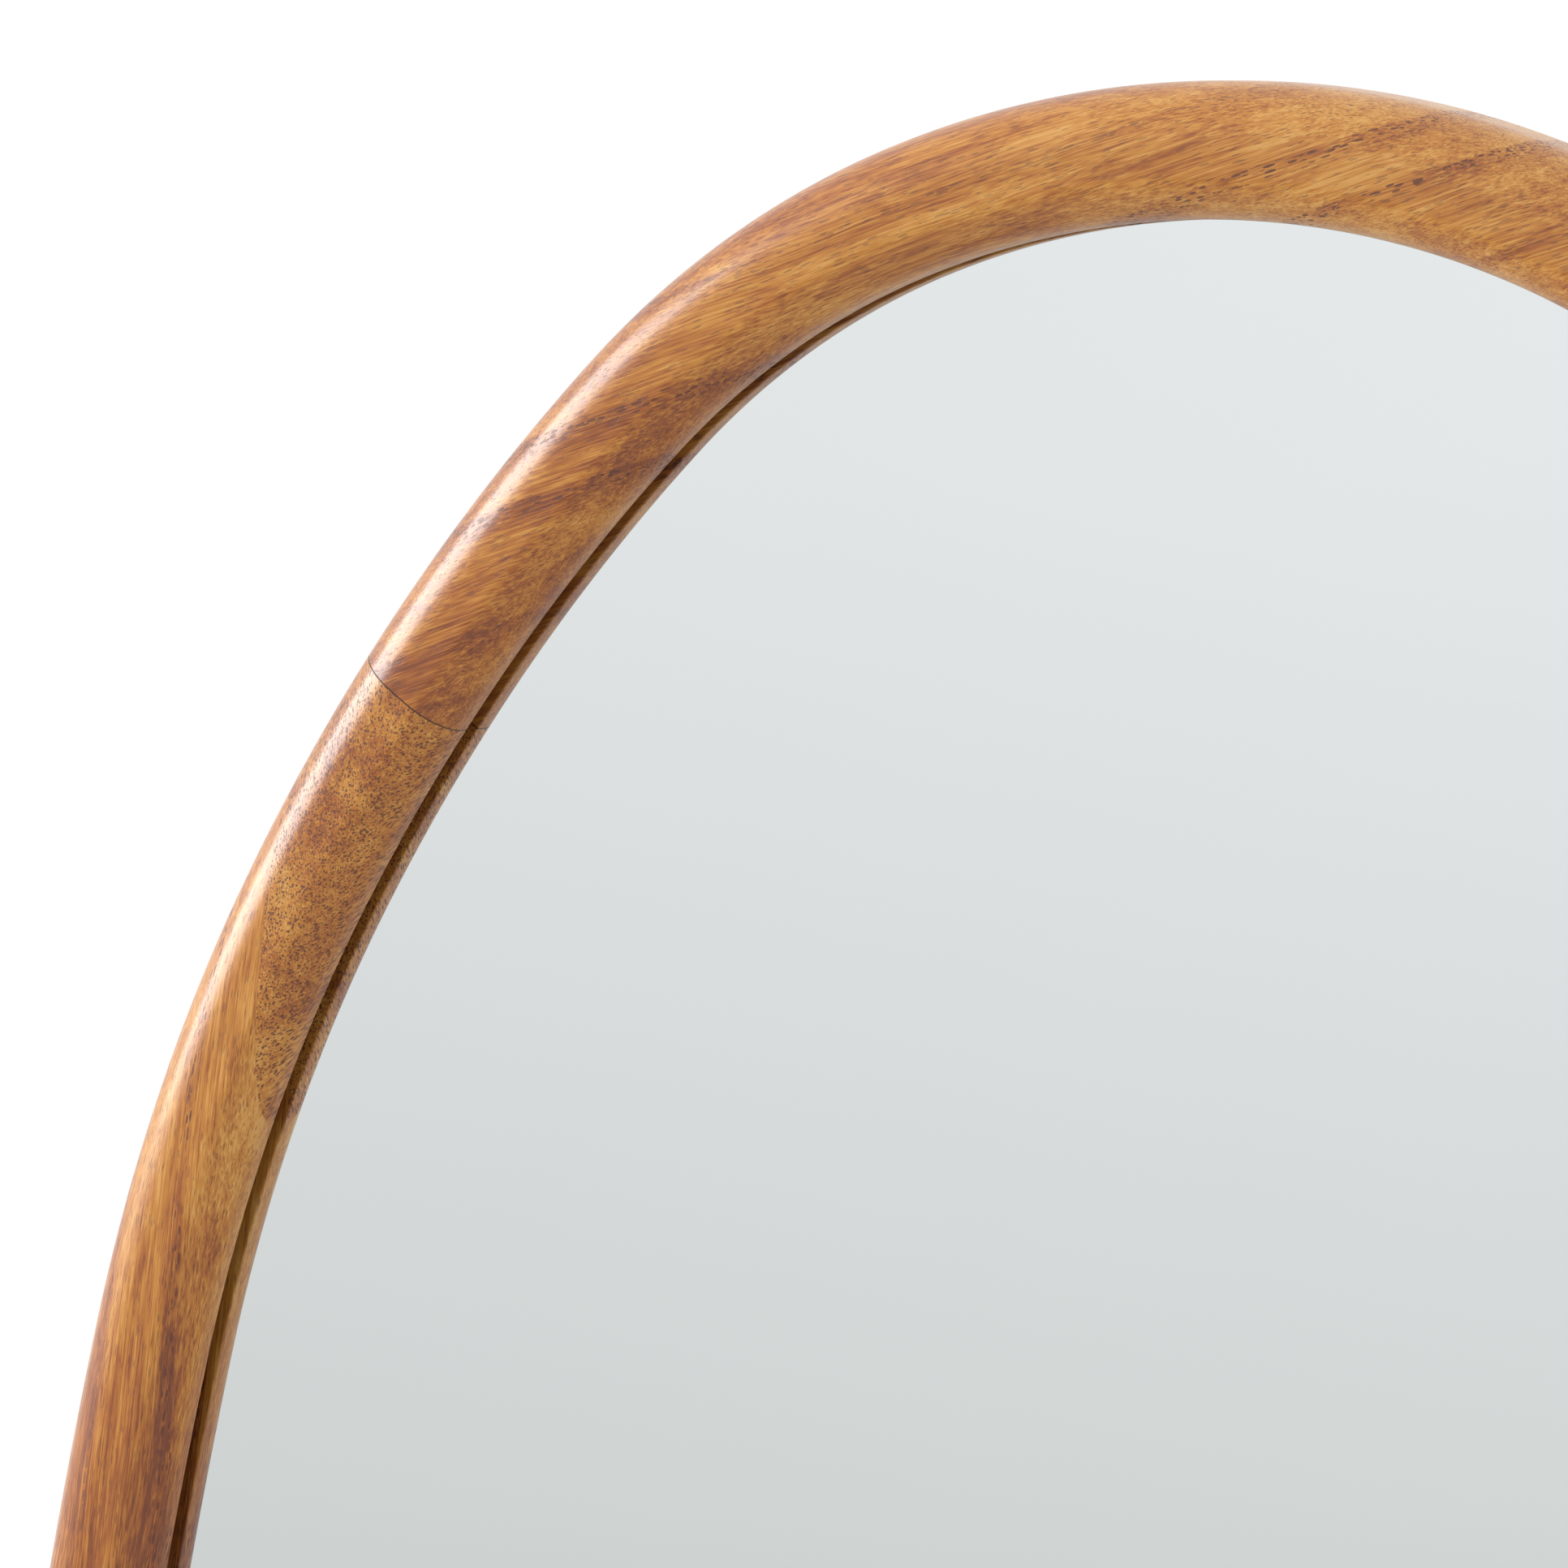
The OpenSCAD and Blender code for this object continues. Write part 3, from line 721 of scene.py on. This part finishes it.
def plain_material(name, base, dark, rough, grain_mm, relief_mm):
    """Plastic, rubber, foam and fibre: two close tones, a fine grain and its relief."""
    material, g, shader = new_material(name)
    coords = object_coords_mm(g)
    cloud = even_noise(g, coords, 6.0, 4, 0.6)
    grain = even_noise(g, coords, grain_mm, 3, 0.65)
    tone = g.math("ADD", g.math("MULTIPLY", cloud, 0.6), g.math("MULTIPLY", grain, 0.4))
    g.put(shader.inputs["Base Color"], g.mix(g.smooth(tone, 0.35, 0.65), (*base, 1), (*dark, 1)))
    g.put(shader.inputs["Roughness"], g.math("ADD", g.math("MULTIPLY", grain, 0.2), rough))
    bump(g, shader, g.math("MULTIPLY", grain, relief_mm))
    return material


def hardboard_material():
    """Dark hardboard with the woven impression of its press screen."""
    material, g, shader = new_material("hardboard_back")
    coords = object_coords_mm(g)
    x, _, z = g.node("SeparateXYZ", None, Vector=coords).outputs
    mesh_pitch = 2.2
    per_mm = 2 * math.pi / mesh_pitch
    weave = g.math("MULTIPLY", g.math("SINE", g.math("MULTIPLY", x, per_mm)),
                   g.math("SINE", g.math("MULTIPLY", z, per_mm)))
    fibre = even_noise(g, coords, 1.4, 4, 0.7)
    cloud = even_noise(g, coords, 90, 4, 0.6)
    tone = g.math("ADD", g.math("MULTIPLY", fibre, 0.5), g.math("MULTIPLY", cloud, 0.5))
    browns = [(0.3, (0.040, 0.022, 0.012)), (0.5, (0.075, 0.044, 0.025)), (0.7, (0.125, 0.080, 0.048))]
    g.put(shader.inputs["Base Color"], g.ramp(tone, browns))
    g.put(shader.inputs["Roughness"], g.math("ADD", g.math("MULTIPLY", fibre, 0.25), 0.5))
    bump(g, shader, g.math("ADD", g.math("MULTIPLY", weave, 0.05), g.math("MULTIPLY", fibre, 0.10)))
    return material


mat_mirror = mirror_material()
mat_brass = metal_material("brushed_brass", (0.70, 0.50, 0.21), (0.52, 0.35, 0.13), 0.45)
mat_steel = metal_material("zinc_steel", (0.62, 0.63, 0.64), (0.46, 0.46, 0.46), 0.55)
mat_rubber = plain_material("pad_rubber", (0.022, 0.022, 0.023), (0.040, 0.039, 0.038), 0.55, 0.5, 0.05)
mat_nylon = plain_material("nylon", (0.80, 0.76, 0.66), (0.70, 0.65, 0.54), 0.30, 0.6, 0.01)
mat_fibre = plain_material("pressed_fibre", (0.030, 0.027, 0.024), (0.075, 0.066, 0.056), 0.65, 0.35, 0.06)
mat_tape = plain_material("foam_tape", (0.80, 0.80, 0.77), (0.66, 0.66, 0.63), 0.70, 0.4, 0.08)
mat_hardboard = hardboard_material()
mat_dowel = wood_material("wood_dowel", Board((0.6, 0, 0.8), (0.8, 0, -0.6), (5, 3, 9), 6.0, 0.95))

POST_WOOD = {
    1: wood_material("wood_right_post", Board((0.02, 0.01, 1), (0.5, 1, 0), (31, 8, 0), 13.0, 0.52)),
    -1: wood_material("wood_left_post", Board((-0.03, 0.02, 1), (1, -0.4, 0), (77, 5, 21), 12.0, 0.48)),
}
FOOT_WOOD = {
    1: wood_material("wood_right_foot", Board((0.01, 1, 0.03), (0.3, 0, 1), (12, 40, 9), 12.0, 0.46)),
    -1: wood_material("wood_left_foot", Board((0.02, 1, -0.02), (-0.5, 0, 1), (55, 90, 31), 13.0, 0.54)),
}
KNOB_WOOD = {
    1: wood_material("wood_right_knob", Board((0.1, 1, 0.2), (1, 0, 0.2), (3, 17, 41), 10.0, 0.44)),
    -1: wood_material("wood_left_knob", Board((0.1, 1, -0.3), (1, 0, -0.1), (63, 7, 11), 10.0, 0.50)),
}
mat_stretcher = wood_material("wood_stretcher", Board((1, 0.01, 0.02), (0, 0.6, 1), (8, 91, 27), 12.0, 0.50))
mat_caps = wood_material("wood_bolt_caps", Board((0.1, 0.2, 1), (1, 0.2, 0), (14, 3, 5), 8.0, 0.52))


# ---- mirror panel
PIVOT_Z = sum(corner[2] for corner in box_mm("right_insert")) / 2
# The flat seat of a pivot insert in the outer edge, and the bores for its body and its rim
SEAT_R, SEAT_DEPTH = 13, 4
INSERT_R, INSERT_RIM_R, INSERT_RIM_T = 6, 8, 1.5
SIDES = ((1, "right"), (-1, "left"))


def cut_insert_bores(segment, side, word):
    """Cuts the seat and the two bores of a pivot insert into a side piece of the frame."""
    insert_inner_x = np.abs([corner[0] for corner in box_mm(word + "_insert")]).min()
    seat_x = PANEL_HALF_W - SEAT_DEPTH
    side_drill(segment, SEAT_R, side, seat_x, PANEL_HALF_W + 20, PIVOT_Z)
    side_drill(segment, INSERT_R, side, insert_inner_x, seat_x + 1, PIVOT_Z)
    side_drill(segment, INSERT_RIM_R, side, seat_x - INSERT_RIM_T, seat_x + 1, PIVOT_Z)


for node, material, start, stop, steps, upside_down in (
        ("frame_top", mat_top, -JOINT_TURN, JOINT_TURN, 300, False),
        ("frame_left", mat_left, JOINT_TURN, 180 - JOINT_TURN, 260, False),
        ("frame_right", mat_right, JOINT_TURN - 180, -JOINT_TURN, 260, False),
        ("frame_bottom", mat_bottom, -JOINT_TURN, JOINT_TURN, 300, True)):
    segment = frame_segment(node + "_bar", start, stop, steps, upside_down)
    for side, word in SIDES:
        if node == "frame_" + word:
            cut_insert_bores(segment, side, word)
    piece(segment, material, "frame_wood", node)

# Inset of the silvered face from the outer edge, and its front and back faces along Y
SHEET_INSET = 27.5
SHEET_Y = (0.0, 2.0)


def mirror_sheet():
    """The silvered face, set at the depth where the reflection appears to start behind the glass."""
    outline = []
    for turn in np.linspace(-180, 180, 720, endpoint=False):
        point, normal = rim(turn)
        outline.append(point - normal * SHEET_INSET)
    return loft("mirror_sheet", [[(x, y, z) for x, z in outline] for y in SHEET_Y])


piece(mirror_sheet(), mat_mirror, "mirror_glass", "mirror_glass")


# ---- back clips and their screws
CLIP_TURNS = (36, 62, 78, 86)
# Inset of the screws from the outer edge
CLIP_INSET = 14
CLIP_W, CLIP_T, CLIP_HOLE_R = 16, 1.2, 1.9
# A clip along local X, from its tail past the screw to the web and on to the tip, and its foot's depth
CLIP_TAIL, CLIP_WEB, CLIP_TIP, CLIP_DROP = -7, 12.3, 26.3, -10.0


def clip_places():
    """Places of the clip screws, as matrices in metres: local X inward, local Z out of the back."""
    turns = [0, 180]
    for turn in CLIP_TURNS:
        turns += [turn, -turn, 180 - turn, turn - 180]
    places = []
    for turn in turns:
        point, normal = rim(turn)
        spot = point - normal * CLIP_INSET
        x = Vector((-normal[0], 0, -normal[1]))
        z = Vector((0, 1, 0))
        rotation = Matrix((x, z.cross(x), z)).transposed().to_4x4()
        places.append(Matrix.Translation(Vector((spot[0], BAR / 2, spot[1])) * MM) @ rotation)
    return places


def placed_copies(name, master, places):
    """One object holding a copy of the master at each place."""
    copies = []
    for place in places:
        mesh = master.data.copy()
        mesh.transform(place)
        copies.append(new_object("copy", mesh))
    bpy.data.objects.remove(master)
    return join(name, copies)


def bent_clip():
    """A Z-shaped strip with rounded bends, a rounded free end and a screw hole."""
    t, edge, inner_bend = CLIP_T, 0.25, 0.8
    outline = [(CLIP_TAIL, t), (CLIP_WEB - 1.3, t)] + arc_points((CLIP_WEB, 0), t, 90, 0, 7)
    outline += [(CLIP_WEB + t, CLIP_DROP + t), (CLIP_TIP, CLIP_DROP + t), (CLIP_TIP, CLIP_DROP)]
    outline += arc_points((CLIP_WEB + inner_bend, CLIP_DROP + inner_bend), inner_bend, 270, 180, 5)
    outline += [(CLIP_WEB, 0), (CLIP_TAIL, 0)]
    half = CLIP_W / 2
    rings = []
    for y, pull in ((-half, edge), (-half + edge, 0), (half - edge, 0), (half, edge)):
        rings.append([(min(max(x, CLIP_TAIL + pull), CLIP_TIP - pull), y, z) for x, z in outline])
    clip = loft("clip", rings)
    upright_drill(clip, CLIP_HOLE_R, 0, 0, -2, 4, 40)
    corner_r, outside = 3.0, CLIP_TAIL - 1
    centre_x, centre_y = CLIP_TAIL + corner_r, half - corner_r
    for side in (1, -1):
        block = [(outside, side * (half + 1)), (centre_x, side * (half + 1)), (centre_x, side * half)]
        block += [(centre_x - corner_r * math.sin(a), side * (centre_y + corner_r * math.cos(a)))
                  for a in np.linspace(0, math.pi / 2, 9)[1:]]
        block += [(outside, side * centre_y)]
        cut(clip, loft("cutter", [[(x, y, z) for x, y in block] for z in (-2, 4)]))
    return clip


def crosshead_screw():
    """A pan head with a cross recess and a threaded shank."""
    head_r, rim_t, crown_r, head_t, rim_share = 3.5, 0.8, 2.2, 1.8, 0.7
    shank_r, shank, point, pitch = 1.75, 13.0, 2, 1.2
    profile = [(0, -shank), (0.3, -shank), (shank_r * 0.75, -shank + point)]
    z = -shank + point
    while z < -1.5:
        profile += [(shank_r * 0.72, z), (shank_r, z + 0.45 * pitch), (shank_r, z + 0.55 * pitch)]
        z += pitch
    profile += [(shank_r * 0.9, z), (shank_r * 0.9, CLIP_T), (head_r - 0.1, CLIP_T), (head_r, CLIP_T + 0.1)]
    shoulder, flat_r = CLIP_T + rim_t * rim_share, crown_r * 0.6
    profile += [(head_r, shoulder)]
    for a in np.linspace(0, math.pi / 2, 9)[1:]:
        profile.append((flat_r + (head_r - flat_r) * math.cos(a),
                        shoulder + (head_t - rim_t * rim_share) * math.sin(a)))
    top = CLIP_T + head_t
    profile.append((0, top))
    verts, faces = lathe_mesh(profile, 48)
    screw = object_from("screw", verts, faces, 30)
    arm, half_t, recess = 1.7, 0.35, 1.1
    blade = [(-arm, -half_t), (arm, -half_t), (arm, half_t), (-arm, half_t)]
    for turn in (0, 90):
        c, s = math.cos(math.radians(turn)), math.sin(math.radians(turn))
        rings = [[((x * c - y * s) * scale, (x * s + y * c) * scale, z) for x, y in blade]
                 for z, scale in ((top + 0.5, 1.0), (top - recess, 0.55))]
        cut(screw, loft("cutter", rings))
    return screw


for name, master, node in (("back_clips_bent", bent_clip(), "back_clips"),
                           ("clip_screws_cross", crosshead_screw(), "clip_screws")):
    piece(placed_copies(name, master, clip_places()), mat_steel, "zinc_steel", node)


# ---- stand
# Posts: nearly round bars with domed tops, let into the feet
POST_GAP, POST_W, POST_DEPTH, POST_R = 8, 36, 44, 16
POST_X = round(PANEL_HALF_W + POST_GAP, 3)
POST_FAR_X, POST_CENTRE_X = POST_X + POST_W, POST_X + POST_W / 2
POST_ABOVE, POST_FOOT_Z = 45, 70
DOME_R = POST_DEPTH / 2
DOME_Z = round(PIVOT_Z) + POST_ABOVE - DOME_R
# Recesses for the pivot's washers, and the bore for its bushing
RECESS_R, RECESS_T, BUSHING_R = 13.5, 1.5, 7
# Stretcher between the posts, its housings, and the bores for its bolts and their caps
STRETCHER_Z, STRETCHER_R, HOUSING_T = 99, 14, 3
BOLT_HOLE_R, THREAD_INSERT_R, THREAD_INSERT_LEN = 4.25, 6, 20
BORE_R, BORE_DEPTH, CAP_T, CAP_RISE = 9, 14.5, 5, 2.0
STRETCHER_END_X = POST_X + HOUSING_T
CAP_SEAT_X = POST_FAR_X - BORE_DEPTH
# Feet: a round bar bent to an arc over the centres of its two toes
FOOT_R, TOE_R, TOE_Y, TOE_Z, FOOT_CROWN_Z = 21, 20.88, 229, 21, 62
FOOT_RISE = FOOT_CROWN_Z - TOE_Z
FOOT_ARC_R = round((TOE_Y ** 2 + FOOT_RISE ** 2) / (2 * FOOT_RISE), 2)
FOOT_ARC_Z = FOOT_CROWN_Z - FOOT_ARC_R
FOOT_SEAT_Z, SOLE_Z = 51.5, 4
PAD_R, PAD_STEM_R, PAD_TOP = 11, 4, 15


def post(name, side):
    """A nearly round post with a domed top; one radius rounds its section and its top."""
    rings = []
    steps = [POST_R * (1 - math.cos(a)) for a in np.linspace(0, math.pi / 2, 20)]
    stations = steps + [POST_W - s for s in steps[::-1]]
    for x in stations:
        edge = min(x, POST_W - x)
        inset = POST_R - math.sqrt(max(POST_R ** 2 - (POST_R - edge) ** 2, 0))
        half = POST_DEPTH / 2 - inset
        ring = [(-half, z) for z in np.linspace(POST_FOOT_Z, DOME_Z, 24)[:-1]]
        ring += [(-half * math.cos(a), DOME_Z + half * math.sin(a)) for a in np.linspace(0, math.pi, 48)]
        ring += [(half, z) for z in np.linspace(DOME_Z, POST_FOOT_Z, 24)[1:]]
        rings.append([(side * (POST_X + x), y, z) for y, z in ring])
    return loft(name, rings)


def foot(name, side):
    """A round bar bent to an arc, with ball toes, worn flat where the pads sit."""
    half_turn = math.degrees(math.asin(TOE_Y / FOOT_ARC_R))
    segments, blend_turn = 72, 2.0
    across = np.array([1, 0, 0])
    arc_centre = np.array([0, 0, FOOT_ARC_Z])
    # stations are (turn along the arc, how far ahead of it in parts of the radius, size of the section)
    ball = np.linspace(0, math.pi / 2, 16)[1:-1]
    stations = [(-half_turn, -math.sin(a), math.cos(a)) for a in ball[::-1]]
    stations += [(t, 0, 1) for t in np.linspace(-half_turn, half_turn, 97)]
    stations += [(half_turn, math.sin(a), math.cos(a)) for a in ball]

    def directions(turn):
        a = math.radians(turn)
        return np.array([0, math.sin(a), math.cos(a)]), np.array([0, math.cos(a), -math.sin(a)])

    verts = []
    for turn, ahead, size in stations:
        out, along = directions(turn)
        blend = min(1.0, (half_turn - abs(turn)) / blend_turn)
        radius = TOE_R + (FOOT_R - TOE_R) * blend
        centre = arc_centre + FOOT_ARC_R * out + along * radius * ahead
        for s in np.linspace(0, 2 * math.pi, segments, endpoint=False):
            verts.append(centre + radius * size * (math.cos(s) * out + math.sin(s) * across))
    first, last = len(verts), len(verts) + 1
    for turn in (-half_turn, half_turn):
        out, along = directions(turn)
        verts.append(arc_centre + FOOT_ARC_R * out + np.sign(turn) * TOE_R * along)
    verts = np.array(verts)
    faces = grid_faces(len(stations), segments)
    last_ring = (len(stations) - 1) * segments
    for c in range(segments):
        c2 = (c + 1) % segments
        faces.append((first, c2, c))
        faces.append((last, last_ring + c, last_ring + c2))
    verts[:, 0] += side * POST_CENTRE_X
    verts[:, 2] = np.maximum(verts[:, 2], SOLE_Z)
    return object_from(name, verts, faces)


for side, word in SIDES:
    centre_x = side * POST_CENTRE_X
    leg = post(word + "_post_turned", side)
    side_drill(leg, RECESS_R, side, POST_X - 5, POST_X + RECESS_T, PIVOT_Z)
    side_drill(leg, RECESS_R, side, POST_FAR_X - RECESS_T, POST_FAR_X + 5, PIVOT_Z)
    side_drill(leg, BUSHING_R, side, POST_X - 1, POST_FAR_X + 1, PIVOT_Z)
    side_drill(leg, STRETCHER_R, side, POST_X - 5, STRETCHER_END_X, STRETCHER_Z)
    side_drill(leg, BOLT_HOLE_R, side, POST_X - 1, CAP_SEAT_X + 1, STRETCHER_Z)
    side_drill(leg, BORE_R, side, CAP_SEAT_X, POST_FAR_X + 5, STRETCHER_Z)
    upright_drill(leg, THREAD_INSERT_R, centre_x, 0, POST_FOOT_Z - 1, POST_FOOT_Z + THREAD_INSERT_LEN)
    piece(leg, POST_WOOD[side], "stand_wood", word + "_post")

    base = foot(word + "_foot_bent", side)
    cut(base, post("cutter", side))
    upright_drill(base, BORE_R, centre_x, 0, -5, FOOT_SEAT_Z)
    upright_drill(base, BOLT_HOLE_R, centre_x, 0, FOOT_SEAT_Z - 1, POST_FOOT_Z + 1)
    for y in (-TOE_Y, TOE_Y):
        upright_drill(base, PAD_STEM_R, centre_x, y, 0, PAD_TOP + 1, 48)
    piece(base, FOOT_WOOD[side], "stand_wood", word + "_foot")

end_x = STRETCHER_END_X
rail_profile = [(0, -end_x), (STRETCHER_R, -end_x), (STRETCHER_R, end_x), (0, end_x)]
rail = turned("stretcher_rail", rounded(rail_profile, 0.6), 1, STRETCHER_Z)
for side, _ in SIDES:
    side_drill(rail, THREAD_INSERT_R, side, end_x - THREAD_INSERT_LEN, end_x + 1, STRETCHER_Z)
piece(rail, mat_stretcher, "stand_wood", "stretcher")


def cap(side):
    """A slightly domed wooden cap over the stretcher bolt."""
    start, arris = POST_FAR_X - CAP_T, 0.4
    dome_r = (BORE_R ** 2 + CAP_RISE ** 2) / (2 * CAP_RISE)
    profile = [(0, start), (BORE_R - arris, start), (BORE_R, start + arris), (BORE_R, POST_FAR_X)]
    profile += [(r, POST_FAR_X + CAP_RISE - dome_r + math.sqrt(dome_r ** 2 - r ** 2))
                for r in np.linspace(BORE_R, 0, 14)[1:]]
    return turned("cap", profile, side, STRETCHER_Z, 96)


def pad(side, y):
    """A round foot pad with the stem that holds it in the foot."""
    profile = [(0, 0), (PAD_R, 0), (PAD_R, SOLE_Z), (PAD_STEM_R, SOLE_Z), (PAD_STEM_R, PAD_TOP), (0, PAD_TOP)]
    verts, faces = lathe_mesh(rounded(profile, 0.8), 72)
    return object_from("pad", verts + np.array([side * POST_CENTRE_X, y, 0]), faces)


def socket_bolt(side):
    """A socket head bolt driven up through the foot into the post."""
    head_z, head_r, head_t, shank_r, tip_z, bevel = 42, 6.5, 8, 4, 89, 0.8
    key_r, key_depth = 3.5, 4
    profile = rounded([(0, head_z), (head_r, head_z), (head_r, head_z + head_t)], 0.6)
    profile += [(shank_r, head_z + head_t), (shank_r, tip_z - bevel), (shank_r - bevel, tip_z), (0, tip_z)]
    verts, faces = lathe_mesh(profile, 72)
    bolt = object_from("bolt", verts + np.array([side * POST_CENTRE_X, 0, 0]), faces)
    upright_drill(bolt, key_r, side * POST_CENTRE_X, 0, head_z - 1, head_z + key_depth, 6)
    return bolt


piece(join("bolt_caps_domed", [cap(side) for side, _ in SIDES]), mat_caps, "stand_wood", "bolt_caps")
pads = [pad(side, y) for side, _ in SIDES for y in (-TOE_Y, TOE_Y)]
piece(join("foot_pads_round", pads), mat_rubber, "pad_rubber", "foot_pads")
bolts = [socket_bolt(side) for side, _ in SIDES]
piece(join("foot_bolts_socket", bolts), mat_steel, "zinc_steel", "foot_bolts")


# ---- pivots and knobs
# Stations along X on the right, from the frame outwards
WASHER_T, FERRULE_LEN, BORE_IN_KNOB = 2, 7, 16
SPACER_X = POST_X - POST_GAP - SEAT_DEPTH
FRICTION_X = POST_X + RECESS_T - WASHER_T
WASHER_X = POST_FAR_X - RECESS_T
CLAMP_X = WASHER_X + WASHER_T
KNOB_X = CLAMP_X + FERRULE_LEN
KNOB_R, KNOB_EDGE, KNOB_T = 22, 12, 24
NECK_R, STUD_R = 8, 4
# Drawn between pieces that turn against each other
RUNNING_GAP = 0.05


def ring_profile(radius, bore, start, stop, edge):
    """Closed profile of a washer or spacer with rounded outer edges, as (radius, x)."""
    return rounded([(bore, start), (radius, start), (radius, stop), (bore, stop)], edge, 5)


def ferrule_profile():
    """Closed profile of a ferrule: a stepped brass collar round the neck of the knob."""
    steps = [(NECK_R, RUNNING_GAP), (10.2, RUNNING_GAP), (11, 0.8), (11, 2), (9.8, 3.2), (9.8, FERRULE_LEN),
             (NECK_R, FERRULE_LEN)]
    return rounded([(r, CLAMP_X + x) for r, x in steps], 0.3)


def knob_profile():
    """Profile of a knob with its neck inside the ferrule and the bore for its stud."""
    neck_x, bore_end = CLAMP_X + RUNNING_GAP, KNOB_X + BORE_IN_KNOB
    profile = [(0, bore_end), (STUD_R, bore_end), (STUD_R, neck_x), (NECK_R, neck_x), (NECK_R, KNOB_X)]
    profile += arc_points((KNOB_R - KNOB_EDGE, KNOB_X + KNOB_EDGE), KNOB_EDGE, 270, 450, 60)
    return profile + [(0, KNOB_X + KNOB_T)]


for side, word in SIDES:
    spacer = ring_profile(10, 4.3, SPACER_X, FRICTION_X, 0.8)
    friction = ring_profile(11, 4.5, FRICTION_X + RUNNING_GAP, FRICTION_X + WASHER_T, 0.3)
    washer = ring_profile(13, 4.1, WASHER_X, CLAMP_X, 0.7)
    for name, profile, material, slot, node in (
            ("_spacer_turned", spacer, mat_brass, "brass", "_spacer"),
            ("_friction_ring", friction, mat_fibre, "fibre", "_friction_washer"),
            ("_washer_turned", washer, mat_brass, "brass", "_washer"),
            ("_ferrule_turned", ferrule_profile(), mat_brass, "brass", "_ferrule"),
            ("_knob_turned", knob_profile(), KNOB_WOOD[side], "stand_wood", "_knob")):
        piece(turned(word + name, profile, side, PIVOT_Z), material, slot, word + node)

# CAD nodes that are shown as they are
for material, kept in (
        (mat_hardboard, ["back_panel"]),
        (mat_tape, ["mounting_tape"]),
        (mat_dowel, ["frame_dowels"]),
        (mat_brass, ["left_insert", "right_insert", "post_inserts", "stretcher_inserts"]),
        (mat_steel, ["foot_bolt_washers", "stretcher_bolts", "stretcher_bolt_washers"]),
        (mat_steel, ["left_stud", "right_stud"]),
        (mat_nylon, ["left_bushing", "right_bushing"])):
    for node in kept:
        nodes[node].data.materials.clear()
        nodes[node].data.materials.append(material)


# ---- stage, light and camera
def world_light():
    """A pale studio: white behind the object, soft grey towards the front, darker below the horizon."""
    world = bpy.data.worlds.new("studio")
    bpy.context.scene.world = world
    world.use_nodes = True
    g = Graph(world.node_tree)
    direction = g.node("TexCoord").outputs["Generated"]
    x, y, z = g.node("SeparateXYZ", None, Vector=direction).outputs
    # greys from straight down (0) past the horizon (0.5) to straight up (1)
    greys = g.ramp(g.math("ADD", g.math("MULTIPLY", z, 0.5), 0.5), [
        (0.00, (0.22, 0.22, 0.22)), (0.40, (0.46, 0.48, 0.47)), (0.436, (0.685, 0.700, 0.698)),
        (0.469, (0.780, 0.797, 0.808)), (0.485, (0.825, 0.842, 0.855)), (0.60, (0.93, 0.94, 0.95)),
        (1.00, (1.00, 1.00, 1.00))])
    sideways = g.smooth(x, -0.64, -0.34, 0.955, 1.045)
    tint = g.node("CombineColor", None, Red=sideways, Green=sideways, Blue=sideways).outputs[0]
    front = g.mix(1.0, greys, tint, "MULTIPLY")
    behind = g.smooth(y, 0.05, 0.45)
    background = world.node_tree.nodes["Background"]
    g.put(background.inputs["Color"], g.mix(behind, front, (1.02, 1.02, 1.02, 1)))
    background.inputs["Strength"].default_value = 1.0


def area_light(name, location, target, width, height, radiance):
    """A soft box of a given brightness, facing a point."""
    light = bpy.data.lights.new(name, "AREA")
    light.shape = "RECTANGLE"
    light.size, light.size_y = width, height
    light.energy = radiance * math.pi * width * height
    obj = new_object(name, light)
    obj.location = location
    obj.rotation_euler = (Vector(target) - Vector(location)).to_track_quat("-Z", "Y").to_euler()


def floor():
    """A round pale floor that fades into the backdrop at its rim, in metres."""
    radius, segments = 8.0, 128
    angles = np.linspace(0, 2 * math.pi, segments, endpoint=False)
    verts = [(0, 0, 0)] + [(radius * math.cos(a), radius * math.sin(a), 0) for a in angles]
    faces = [(0, i + 1, (i + 1) % segments + 1) for i in range(segments)]
    mesh = bpy.data.meshes.new("floor")
    mesh.from_pydata(verts, [], faces)
    obj = new_object("floor", mesh)
    material, g, shader = new_material("pale_floor")
    coords = g.node("TexCoord").outputs["Object"]
    mottle = g.noise(g.scaled(coords, 0.8, 0.8, 0.8), 3, 0.5)
    g.put(shader.inputs["Base Color"], g.mix(mottle, (0.60, 0.60, 0.59, 1), (0.63, 0.63, 0.62, 1)))
    shader.inputs["Roughness"].default_value = 0.6
    g.put(shader.inputs["Alpha"], g.smooth(g.vector("LENGTH", coords), 3.5, 7.5, 1.0, 0.0))
    obj.data.materials.append(material)


world_light()
area_light("key_softbox", (-2.42, -0.62, 2.13), (-0.35, 0, 1.45), 1.4, 1.15, 9.6)
floor()

camera = bpy.data.cameras.new("camera")
camera.lens = 254
camera.sensor_width = 36
camera.clip_start, camera.clip_end = 0.05, 60
camera_object = new_object("camera", camera)
camera_object.location = (1.300, -2.564, 1.619)
camera_object.rotation_euler = (math.radians(86.58), 0, math.radians(29.15))
bpy.context.scene.camera = camera_object
bpy.context.scene.view_settings.view_transform = "Standard"
